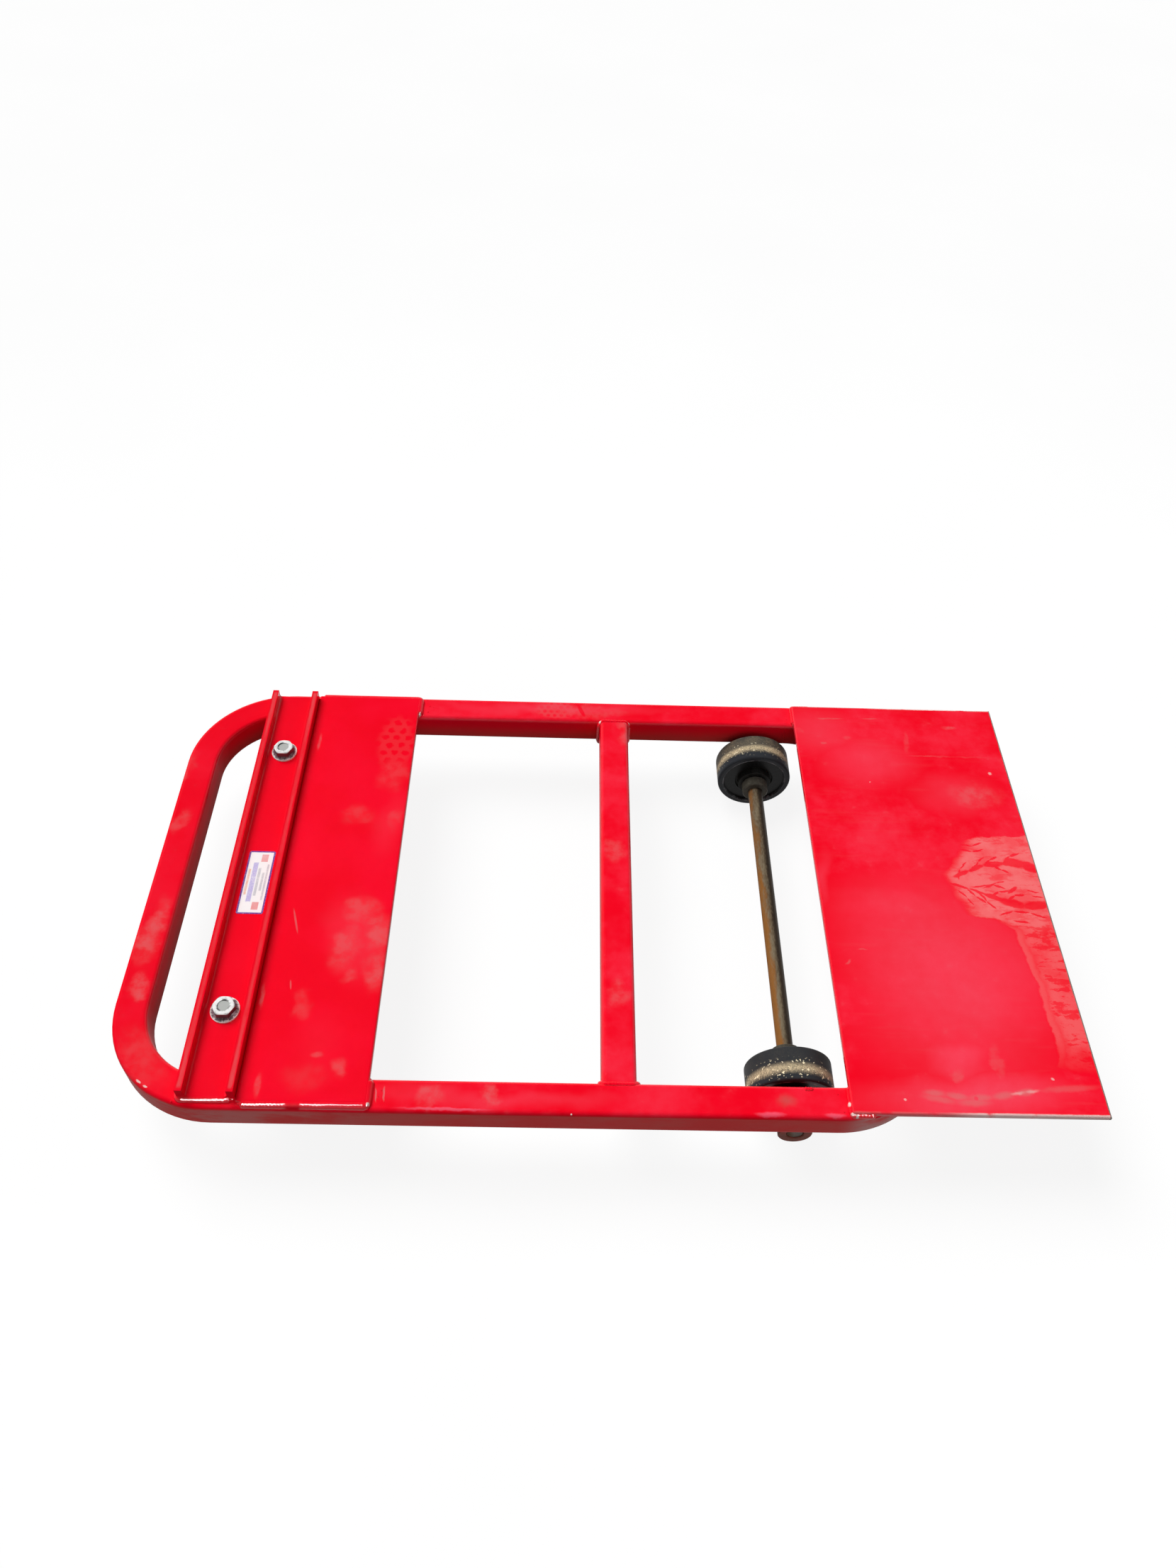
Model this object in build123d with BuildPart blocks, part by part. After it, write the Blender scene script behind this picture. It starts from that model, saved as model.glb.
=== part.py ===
import os
from math import hypot

from build123d import *

os.makedirs("parts", exist_ok=True)

# Sizes in millimetres. X runs from the handle to the nose plate, Y across the rails, Z up from the floor.

# Square tube of the frame
tube = 31.75  # outside, across flats
tube_wall = 3.0
tube_corner = 4.5  # outside corner radius
frame_width = 508.0  # over both rails
loop_length = 769.0  # handle face to the far face of the nose-end cross run
bend_radius = 87.5  # centre line of the four bends
joint_setback = 2.0  # straight tube between the butt joint and the nose-end bend

# Plates and channel on top of the tube
edge_round = 2.0  # rounded upper edges of the plates
corner_round = 2.5  # plan corners of the plates
nose_tip_corner = 5.0  # plan corners at the nose plate's tip
nose_overhang = 134.5  # nose plate past the end of the loop
nose_lap = 96.5  # nose plate over the loop
nose_inset = 3.5  # plate edge inside the rail's outer face
nose_thickness = 4.8
handle_gap = 47.5  # hand slot between handle and channel
channel_width = 50.8
channel_height = 15.5
channel_wall = 4.8  # web
channel_flange = 6.4
channel_root = 4.0  # fillet inside the channel
channel_tip = 2.4  # rounded flange tips
channel_inset = 9.0  # channel end inside the rail's outer face
deck_depth = 115.0
deck_inset = 5.0
deck_thickness = 4.8
axle_window = 189.5  # cross bar to nose plate

# Fits
snug = 0.05  # radial room between pieces that don't turn on each other
running = 0.06  # radial room of a bearing on its shaft
float_room = 0.4  # end play of a wheel
bolt_room = 0.3  # radial room of a bolt in its hole
wall_share = 0.45  # most of a thin wall that one rounded edge may take

# Fixed axle with its load wheels
axle_dia = 15.875
axle_recess = 1.0  # axle end inside the sleeve
sleeve_dia = 31.75
sleeve_length = 27.0
sleeve_recess = 6.5  # sleeve end inside the rail's outer face
sleeve_chamfer = 0.8
pin_dia = 4.76
pin_wall = 1.2
pin_slit = 0.9
pin_recess = 0.6
pin_inset = 12.0  # pin from the sleeve's outer end
washer_thickness = 3.0
hub_length = 42.0
bush_wall = 2.9
hub_wall = 7.6
hub_edge = 0.9  # rounded ends of a boss
hub_groove = 3.0  # width of the ring groove round the boss
groove_depth = 2.0
tread_width = 34.0
side_recess = 3.0  # dished side of the wheel
rim_band = 6.3  # height of the raised rim under the tread
shoulder = 2.5  # rounded tread shoulders
lip_round = 1.1  # rounded edges of the dished sides
wheel_to_nose = 1.2
collar_wall = 6.3
collar_width = 12.0
collar_chamfer = 1.0
grub_dia = 6.0
grub_recess = 0.4
grub_key = 3.0
grub_key_depth = 2.0

# Swivel casters under the channel
caster_inset = 94.0  # king bolt from the rail's outer face
caster_dia = 63.5
caster_tread = 25.4
caster_trail = 21.0
caster_shoulder = 4.0
caster_recess = 2.4
caster_rim = 5.0
caster_hub_wall = 4.5
caster_hub_stand = 1.3  # hub past the tread on each side
caster_play = 0.6  # hub to fork leg, on each side
caster_bush_wall = 2.4
wheel_gap = 3.2  # wheel top to the end of the king bolt
bolt_dia = 12.7
bolt_across = 19.05  # across the flats of head and nut
bolt_head = 9.5
bolt_flange_dia = 27.0
bolt_flange_edge = 1.5
bolt_flange_rise = 3.4
bolt_dimple_dia = 11.4  # shallow round recess in the head
bolt_dimple_depth = 0.7
hex_top = 0.94  # turned top of a hexagon, across, as a share of its flats
hex_slope = 0.07  # height of its turned corners, as a share of its flats
bolt_tail = 1.5  # bolt past its nut
nut_height = 9.0
king_wall = 2.9
king_flange_width = 3.5
king_flange_thickness = 2.5
swivel_room = 0.3
crown_thickness = 3.5
crown_edge = 0.6
ball_dia = 4.8
ball_count = 14
ball_gap = 2.4  # between cup and crown
cup_thickness = 3.0
cup_skirt = 1.8
cup_skirt_drop = 3.6
cup_room = 0.6
cup_round = 0.7
leg_thickness = 3.0
leg_half = 13.0  # half width of a leg at the crown
leg_boss = 11.0
fork_clear = 1.6  # fork leg past the king flange
pivot_dia = 8.0
pivot_across = 13.0
pivot_head = 5.3
pivot_nut_height = 6.5
pivot_tail = 1.5
spacer_wall = 2.0

# Places along the object
overall_length = loop_length + nose_overhang
x_handle = -overall_length / 2
x_loop_end = x_handle + loop_length
x_nose_tip = x_handle + overall_length
x_nose = x_loop_end - nose_lap
x_channel = x_handle + tube + handle_gap
x_deck = x_channel + channel_width
x_king = x_channel + channel_width / 2
x_cross = x_nose - axle_window - tube / 2
x_joint = x_loop_end - tube / 2 - bend_radius - joint_setback

# Places across it
y_outer = frame_width / 2
y_rail = y_outer - tube / 2
y_inner = y_outer - tube
y_king = y_outer - caster_inset
y_sleeve = y_outer - sleeve_recess - sleeve_length
y_hub = y_sleeve - washer_thickness - float_room
y_wheel = y_hub - hub_length / 2
y_collar = y_hub - hub_length - float_room - collar_width

# Radii that follow from the shafts
axle_r = axle_dia / 2
sleeve_r = sleeve_dia / 2
bush_r = axle_r + running + bush_wall
boss_r = bush_r + hub_wall
seat_r = boss_r + hub_groove
collar_r = axle_r + snug + collar_wall
bolt_r = bolt_dia / 2
flange_r = bolt_flange_dia / 2
king_r = bolt_r + bolt_room + king_wall
king_flange_r = king_r + king_flange_width
pivot_r = pivot_dia / 2
spacer_r = pivot_r + snug + spacer_wall
caster_r = caster_dia / 2
caster_bush_r = spacer_r + running + caster_bush_wall
caster_boss_r = caster_bush_r + caster_hub_wall
fork_gap = 2 * max(caster_tread / 2 + caster_hub_stand + caster_play, king_flange_r + fork_clear)
crown_r = hypot(fork_gap / 2 + leg_thickness, leg_half) + crown_edge
race_r = (king_r + crown_r) / 2

# Heights: the caster stack carries the bed, and the load wheels are as large as the bed's height asks
z_bolt_end = caster_dia + wheel_gap
z_nut = z_bolt_end + bolt_tail
z_king = z_nut + nut_height
z_crown = z_king + king_flange_thickness + swivel_room + crown_thickness
z_cup = z_crown + ball_gap
bed_height = z_cup + cup_thickness
z_tube = bed_height - tube / 2
z_web = bed_height + channel_wall
z_axle = bed_height - tube - sleeve_r
wheel_r = z_axle
x_axle = x_nose - wheel_to_nose - wheel_r
x_caster = x_king + caster_trail

sides = {"near": -1, "far": 1}


def keep(builder, name):
    builder.part.label = name
    export_step(builder.part, f"parts/{name}.step")


def across(x, y, z, side):
    # A plane square to Y whose normal points away from the middle of the object
    return Plane(origin=(x, y, z), x_dir=(1, 0, 0), z_dir=(0, side, 0))


def half_section(x, y, z):
    # A plane through a wheel's axis: local x runs along the axis, local y is the radius
    return Plane(origin=(x, y, z), x_dir=(0, 1, 0), z_dir=(1, 0, 0))


def upright_section(x, y, z):
    # A plane through a king bolt's axis: local x is the radius, local y runs up
    return Plane(origin=(x, y, z), x_dir=(1, 0, 0), z_dir=(0, -1, 0))


def tube_section():
    RectangleRounded(tube, tube, tube_corner)
    hollow = tube - 2 * tube_wall
    RectangleRounded(hollow, hollow, tube_corner - tube_wall, mode=Mode.SUBTRACT)


def ring(plane, outer, inner, length):
    with BuildSketch(plane) as face:
        Circle(outer)
        Circle(inner, mode=Mode.SUBTRACT)
    extrude(face.sketch, amount=length)


def hexagon(base, flats, height):
    # A hexagonal prism whose top corners are turned off
    with BuildSketch(base) as prism:
        RegularPolygon(flats / 2, 6, major_radius=False)
    extrude(prism.sketch, amount=height)
    corner = flats / 2 * hex_top + flats * hex_slope * 2
    turned = flats / 2 * hex_top
    with BuildSketch(Plane(origin=base.origin, x_dir=base.x_dir, z_dir=-base.y_dir)) as cone:
        with BuildLine():
            Polyline(
                (0, 0),
                (corner, 0),
                (corner, height - flats * hex_slope),
                (turned, height),
                (0, height),
                close=True,
            )
        make_face()
    revolve(cone.sketch, axis=Axis(base.origin, base.z_dir), mode=Mode.INTERSECT)


# Bent tube: the handle bow with both rails, and the bow under the nose plate
def bow(name, x_run):
    with BuildPart() as piece:
        with BuildLine(Plane.XY.offset(z_tube)) as run:
            FilletPolyline(
                (x_joint, -y_rail), (x_run, -y_rail), (x_run, y_rail), (x_joint, y_rail), radius=bend_radius
            )
        with BuildSketch(Plane(origin=run.line @ 0, x_dir=(0, 1, 0), z_dir=run.line % 0)):
            tube_section()
        sweep(path=run.line)
    keep(piece, name)


bow("handle_bow", x_handle + tube / 2)
bow("nose_bow", x_loop_end - tube / 2)

# Cross bar between the rails
with BuildPart() as cross_bar:
    with BuildSketch(Plane.XZ):
        with Locations((x_cross, z_tube)):
            tube_section()
    extrude(amount=y_inner, both=True)
keep(cross_bar, "cross_bar")


# Flat plates on top of the tube
def plate(name, x_from, x_to, width, thickness, tip_corner):
    with BuildPart() as piece:
        with BuildSketch(Plane.XY.offset(bed_height)) as outline:
            with Locations(((x_from + x_to) / 2, 0)):
                Rectangle(x_to - x_from, width)
            ends = outline.vertices().group_by(Axis.X)
            fillet(ends[0], corner_round)
            fillet(ends[-1], tip_corner)
        extrude(amount=thickness)
        fillet(piece.edges().group_by(Axis.Z)[-1], min(edge_round, thickness * wall_share))
    keep(piece, name)


deck_width = frame_width - 2 * deck_inset
nose_width = frame_width - 2 * nose_inset
plate("deck_plate", x_deck, x_deck + deck_depth, deck_width, deck_thickness, corner_round)
plate("nose_plate", x_nose, x_nose_tip, nose_width, nose_thickness, nose_tip_corner)

# Channel with its flanges up, drilled for the king bolts
half_channel = channel_width / 2
half_trough = half_channel - channel_flange
with BuildPart() as caster_channel:
    with BuildSketch(upright_section(x_king, 0, bed_height)) as section:
        with BuildLine():
            Polyline(
                (-half_channel, 0),
                (half_channel, 0),
                (half_channel, channel_height),
                (half_trough, channel_height),
                (half_trough, channel_wall),
                (-half_trough, channel_wall),
                (-half_trough, channel_height),
                (-half_channel, channel_height),
                close=True,
            )
        make_face()
        levels = section.vertices().group_by(Axis.Y)
        fillet(levels[1], min(channel_root, half_trough - flange_r - bolt_room))
        fillet(levels[-1], min(channel_tip, channel_flange * wall_share))
    extrude(amount=y_outer - channel_inset, both=True)
    with Locations((x_king, -y_king, z_web), (x_king, y_king, z_web)):
        Hole(bolt_r + bolt_room)
keep(caster_channel, "caster_channel")

# Axle, drilled for its two pins
y_pin = y_sleeve + sleeve_length - pin_inset
pin_r = pin_dia / 2
axle_half = y_sleeve + sleeve_length - axle_recess
with BuildPart() as axle:
    with BuildSketch(Plane(origin=(x_axle, 0, z_axle), x_dir=(1, 0, 0), z_dir=(0, 1, 0))):
        Circle(axle_r)
    extrude(amount=axle_half, both=True)
    chamfer(axle.edges().filter_by(GeomType.CIRCLE), sleeve_chamfer)
    with Locations((x_axle, -y_pin, z_axle), (x_axle, y_pin, z_axle)):
        Cylinder(pin_r + snug, axle_dia, mode=Mode.SUBTRACT)
keep(axle, "axle")


def axle_sleeve(name, side):
    with BuildPart() as piece:
        ring(across(x_axle, side * y_sleeve, z_axle, side), sleeve_r, axle_r + snug, sleeve_length)
        chamfer(piece.edges().filter_by(GeomType.CIRCLE), sleeve_chamfer)
        with BuildSketch(Plane.XY.offset(z_axle - sleeve_dia)):
            with Locations((x_axle, side * y_pin)):
                Circle(pin_r + snug)
        extrude(amount=sleeve_dia, mode=Mode.SUBTRACT)
    keep(piece, name)


def axle_pin(name, side):
    low = z_axle - sleeve_r + pin_recess
    with BuildPart() as piece:
        with BuildSketch(Plane.XY.offset(low)):
            with Locations((x_axle, side * y_pin)):
                Circle(pin_r)
                Circle(pin_r - pin_wall, mode=Mode.SUBTRACT)
                with Locations((0, pin_r)):
                    Rectangle(pin_slit, pin_dia, mode=Mode.SUBTRACT)
        extrude(amount=z_axle + axle_r - pin_recess - low)
    keep(piece, name)


def thrust_washer(name, side):
    with BuildPart() as piece:
        face = across(x_axle, side * (y_sleeve - washer_thickness), z_axle, side)
        ring(face, boss_r, axle_r + bolt_room, washer_thickness)
    keep(piece, name)


def set_collar(name, side):
    with BuildPart() as piece:
        ring(across(x_axle, side * y_collar, z_axle, side), collar_r, axle_r + snug, collar_width)
        chamfer(piece.edges().filter_by(GeomType.CIRCLE).group_by(SortBy.RADIUS)[-1], collar_chamfer)
        with BuildSketch(Plane.YZ.offset(x_axle)):
            with Locations((side * (y_collar + collar_width / 2), z_axle)):
                Circle(grub_dia / 2 + snug)
        extrude(amount=collar_r, mode=Mode.SUBTRACT)
    keep(piece, name)


def grub_screw(name, side):
    seat = Plane.YZ.offset(x_axle + axle_r + snug)
    length = collar_wall - grub_recess
    place = (side * (y_collar + collar_width / 2), z_axle)
    with BuildPart() as piece:
        with BuildSketch(seat):
            with Locations(place):
                Circle(grub_dia / 2)
        extrude(amount=length)
        with BuildSketch(seat.offset(length)):
            with Locations(place):
                RegularPolygon(grub_key / 2, 6, major_radius=False)
        extrude(amount=-grub_key_depth, mode=Mode.SUBTRACT)
    keep(piece, name)


# Wheels: a rubber tyre bonded to a turned hub that runs on a bush
def tyre(name, middle, radius, tread, seat, recess, rim, shoulder_r):
    half_tread = tread / 2
    lip = radius - rim
    side = half_tread - recess
    with BuildPart() as piece:
        with BuildSketch(half_section(*middle)) as section:
            with BuildLine():
                Polyline(
                    (-side, seat),
                    (-side, lip - recess / 2),
                    (-half_tread, lip),
                    (-half_tread, radius),
                    (half_tread, radius),
                    (half_tread, lip),
                    (side, lip - recess / 2),
                    (side, seat),
                    close=True,
                )
            make_face()
            levels = section.vertices().group_by(Axis.Y)
            fillet(levels[3], min(shoulder_r, rim - lip_round))
            fillet(levels[1] + levels[2], min(lip_round, recess * wall_share))
        revolve(axis=Axis(middle, (0, 1, 0)))
    keep(piece, name)


def hub(name, middle, seat, seat_width, boss, length, bore):
    with BuildPart() as piece:
        with BuildSketch(half_section(*middle)):
            with Locations((0, (boss + bore) / 2)):
                Rectangle(length, boss - bore)
            with Locations((0, (seat + bore) / 2)):
                Rectangle(seat_width, seat - bore)
        revolve(axis=Axis(middle, (0, 1, 0)))
        ends = piece.edges().filter_by(GeomType.CIRCLE).group_by(Axis.Y)
        fillet(ends[0].sort_by(SortBy.RADIUS)[-1], hub_edge)
        fillet(ends[-1].sort_by(SortBy.RADIUS)[-1], hub_edge)
    keep(piece, name)


def bush(name, middle, outer, bore, length):
    with BuildPart() as piece:
        ring(across(middle[0], middle[1] - length / 2, middle[2], 1), outer, bore, length)
    keep(piece, name)


for label, side in sides.items():
    axle_sleeve(f"axle_sleeve_{label}", side)
    axle_pin(f"axle_pin_{label}", side)
    thrust_washer(f"thrust_washer_{label}", side)
    set_collar(f"set_collar_{label}", side)
    grub_screw(f"grub_screw_{label}", side)
    middle = (x_axle, side * y_wheel, z_axle)
    seat_width = tread_width - 2 * (side_recess + groove_depth)
    tyre(f"wheel_tyre_{label}", middle, wheel_r, tread_width, seat_r + snug, side_recess, rim_band, shoulder)
    hub(f"wheel_hub_{label}", middle, seat_r, seat_width, boss_r, hub_length, bush_r + snug)
    bush(f"wheel_bush_{label}", middle, bush_r, axle_r + running, hub_length)


# King bolt with its flanged head on the channel's web, and the nut under the king sleeve
def king_bolt(name, y):
    with BuildPart() as piece:
        hexagon(Plane.XY.move(Location((x_king, y, z_web))), bolt_across, bolt_head)
        with BuildSketch(upright_section(x_king, y, z_web)):
            with BuildLine():
                Polyline(
                    (0, 0),
                    (flange_r, 0),
                    (flange_r, bolt_flange_edge),
                    (bolt_across / 2, bolt_flange_rise),
                    (0, bolt_flange_rise),
                    close=True,
                )
            make_face()
        revolve(axis=Axis((x_king, y, 0), (0, 0, 1)))
        with BuildSketch(Plane.XY.offset(z_web)):
            with Locations((x_king, y)):
                Circle(bolt_r)
        extrude(amount=z_bolt_end - z_web)
        with BuildSketch(Plane.XY.offset(z_web + bolt_head)):
            with Locations((x_king, y)):
                Circle(bolt_dimple_dia / 2)
        extrude(amount=-bolt_dimple_depth, mode=Mode.SUBTRACT)
    keep(piece, name)


def king_nut(name, y):
    with BuildPart() as piece:
        hexagon(Plane(origin=(x_king, y, z_king), x_dir=(1, 0, 0), z_dir=(0, 0, -1)), bolt_across, nut_height)
        with Locations((x_king, y, z_king)):
            Hole(bolt_r + snug)
    keep(piece, name)


# Hollow king pin: its flange carries the crown, and the bolt and nut clamp it under the cup
def king_sleeve(name, y):
    with BuildPart() as piece:
        ring(Plane.XY.move(Location((x_king, y, z_king))), king_r, bolt_r + bolt_room, z_cup - z_king)
        flange = Plane.XY.move(Location((x_king, y, z_king)))
        ring(flange, king_flange_r, bolt_r + bolt_room, king_flange_thickness)
    keep(piece, name)


def race_cut(y, radius):
    with BuildSketch(upright_section(x_king, y, z_crown + ball_gap / 2)) as groove:
        with Locations((race_r, 0)):
            Circle(radius)
    revolve(groove.sketch, axis=Axis((x_king, y, 0), (0, 0, 1)), mode=Mode.SUBTRACT)


def race_cup(name, y):
    skirt_r = crown_r + cup_room
    with BuildPart() as piece:
        with BuildSketch(upright_section(x_king, y, z_cup)):
            with BuildLine():
                Polyline(
                    (bolt_r + bolt_room, 0),
                    (skirt_r, 0),
                    (skirt_r, -cup_skirt_drop),
                    (skirt_r + cup_skirt, -cup_skirt_drop),
                    (skirt_r + cup_skirt, cup_thickness),
                    (bolt_r + bolt_room, cup_thickness),
                    close=True,
                )
            make_face()
        revolve(axis=Axis((x_king, y, 0), (0, 0, 1)))
        rims = piece.edges().filter_by(GeomType.CIRCLE).group_by(SortBy.RADIUS)
        fillet(rims[-1], min(cup_round, cup_skirt * wall_share))
        race_cut(y, ball_dia / 2 + swivel_room)
    keep(piece, name)


def race_balls(name, y):
    with BuildPart() as piece:
        with Locations((x_king, y, z_crown + ball_gap / 2)):
            with PolarLocations(race_r, ball_count):
                Sphere(ball_dia / 2)
    keep(piece, name)


# Fork: a crown plate that turns on the king sleeve, and two legs that trail to the wheel's pivot
def fork(name, y):
    leg_top = z_crown - crown_thickness / 2
    with BuildPart() as piece:
        with BuildSketch(Plane.XY.offset(z_crown)):
            with Locations((x_king, y)):
                Circle(crown_r)
        extrude(amount=-crown_thickness)
        for hand in (-1, 1):
            with BuildSketch(across(x_king, y + hand * fork_gap / 2, 0, hand)) as leg:
                with Locations((0, hand * -(leg_top - leg_boss / 2))):
                    Rectangle(2 * leg_half, leg_boss)
                with Locations((caster_trail, hand * -caster_r)):
                    Circle(leg_boss)
                make_hull()
            extrude(amount=leg_thickness)
        with BuildSketch(across(x_caster, y, caster_r, 1)):
            Circle(pivot_r + snug)
        extrude(amount=fork_gap, both=True, mode=Mode.SUBTRACT)
        with Locations((x_king, y, z_crown)):
            Hole(king_r + running, depth=crown_thickness)
        race_cut(y, ball_dia / 2 + snug)
    keep(piece, name)


def pivot_bolt(name, y, side):
    reach = fork_gap / 2 + leg_thickness
    with BuildPart() as piece:
        hexagon(across(x_caster, y + side * reach, caster_r, side), pivot_across, pivot_head)
        with BuildSketch(across(x_caster, y + side * reach, caster_r, -side)):
            Circle(pivot_r)
        extrude(amount=2 * reach + pivot_nut_height + pivot_tail)
    keep(piece, name)


def pivot_nut(name, y, side):
    reach = fork_gap / 2 + leg_thickness
    seat = across(x_caster, y - side * reach, caster_r, -side)
    with BuildPart() as piece:
        hexagon(seat, pivot_across, pivot_nut_height)
        with BuildSketch(seat):
            Circle(pivot_r + snug)
        extrude(amount=pivot_nut_height, mode=Mode.SUBTRACT)
    keep(piece, name)


for label, side in sides.items():
    y = side * y_king
    king_bolt(f"king_bolt_{label}", y)
    king_nut(f"king_nut_{label}", y)
    king_sleeve(f"king_sleeve_{label}", y)
    race_cup(f"race_cup_{label}", y)
    race_balls(f"race_balls_{label}", y)
    fork(f"caster_fork_{label}", y)
    pivot_bolt(f"pivot_bolt_{label}", y, side)
    pivot_nut(f"pivot_nut_{label}", y, side)
    middle = (x_caster, y, caster_r)
    bush(f"pivot_spacer_{label}", middle, spacer_r, pivot_r + snug, fork_gap)
    hub_width = fork_gap - 2 * caster_play
    seat = caster_boss_r + hub_groove
    seat_width = caster_tread - 2 * (caster_recess + groove_depth)
    tyre(
        f"caster_tyre_{label}",
        middle,
        caster_r,
        caster_tread,
        seat + snug,
        caster_recess,
        caster_rim,
        caster_shoulder,
    )
    hub(f"caster_hub_{label}", middle, seat, seat_width, caster_boss_r, hub_width, caster_bush_r + snug)
    bush(f"caster_bush_{label}", middle, caster_bush_r, spacer_r + running, hub_width)
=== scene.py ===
import math

import bpy
import bmesh
from mathutils import Matrix, Vector


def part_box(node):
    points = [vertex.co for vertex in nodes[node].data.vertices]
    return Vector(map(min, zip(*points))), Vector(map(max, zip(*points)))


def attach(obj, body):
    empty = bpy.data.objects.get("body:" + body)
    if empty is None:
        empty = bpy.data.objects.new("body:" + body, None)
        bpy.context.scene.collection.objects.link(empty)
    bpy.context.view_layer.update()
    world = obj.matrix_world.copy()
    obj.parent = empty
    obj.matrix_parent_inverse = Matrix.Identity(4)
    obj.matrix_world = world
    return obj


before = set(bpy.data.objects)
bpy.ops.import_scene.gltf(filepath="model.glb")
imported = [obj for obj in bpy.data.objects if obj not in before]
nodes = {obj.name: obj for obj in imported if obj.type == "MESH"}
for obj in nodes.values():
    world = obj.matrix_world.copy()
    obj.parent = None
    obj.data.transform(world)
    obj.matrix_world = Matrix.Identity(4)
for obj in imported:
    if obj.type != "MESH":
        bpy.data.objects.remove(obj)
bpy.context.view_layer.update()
print("frame loaded,", len(nodes), "nodes")

mm = 0.001
flatHeight = 1e5  # height of a patch, so great that it works as a flat outline
sides = {"near": -1, "far": 1}

# Places on the object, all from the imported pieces
loopLow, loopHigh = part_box("handle_bow")
bowLow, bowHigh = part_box("nose_bow")
deckLow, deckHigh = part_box("deck_plate")
noseLow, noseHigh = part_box("nose_plate")
channelLow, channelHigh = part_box("caster_channel")
barLow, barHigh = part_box("cross_bar")
sleeveLow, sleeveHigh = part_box("axle_sleeve_far")
railTop = loopHigh.z
railLow = loopLow.z
railOut = loopHigh.y
tubeSize = railTop - railLow
railIn = railOut - tubeSize
webTop = deckHigh.z
bendOut = 103.4 * mm  # outer radius of the bends


class Field:  # an output socket that can be added to, scaled and compared in plain Python
    def __init__(self, graph, socket):
        self.graph = graph
        self.socket = socket

    def __getitem__(self, name):  # another output of the same node
        return Field(self.graph, self.socket.node.outputs[name])

    def __add__(self, other):
        return self.graph.reckon("ADD", self, other)

    def __sub__(self, other):
        return self.graph.reckon("SUBTRACT", self, other)

    def __rsub__(self, other):
        return self.graph.reckon("SUBTRACT", other, self)

    def __mul__(self, other):
        return self.graph.reckon("MULTIPLY", self, other)

    def __truediv__(self, other):
        return self.graph.reckon("DIVIDE", self, other)

    def __abs__(self):
        return self.graph.reckon("ABSOLUTE", self)

    def __or__(self, other):  # the stronger of two masks
        return self.graph.reckon("MAXIMUM", self, other)

    def __and__(self, other):  # the weaker of two masks
        return self.graph.reckon("MINIMUM", self, other)

    __radd__ = __add__
    __rmul__ = __mul__
    __ror__ = __or__


class Graph:  # a node tree, shader or geometry
    def __init__(self, tree):
        self.tree = tree

    def add(self, kind, settings=None, sockets=None, out=0):
        node = self.tree.nodes.new(kind)
        for key, value in (settings or {}).items():
            if key == "bends":
                self.bend(node, value)
            else:
                setattr(node, key, value)
        for key, value in (sockets or {}).items():
            target = node.inputs[key]
            if isinstance(value, Field):
                self.tree.links.new(value.socket, target)
            elif target.type == "RGBA" and len(value) == 3:
                target.default_value = (*value, 1)
            else:
                target.default_value = value
        return Field(self, node.outputs[out]) if node.outputs else None

    def bend(self, node, points):  # corners of a Float Curve's line, in order
        line = node.mapping.curves[0]
        for k, spot in enumerate(points):
            point = line.points[k] if k < 2 else line.points.new(*spot)
            point.location = spot
            point.handle_type = "VECTOR"
        node.mapping.update()

    def reckon(self, operation, *values):
        return self.add("ShaderNodeMath", {"operation": operation}, dict(enumerate(values)))


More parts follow.
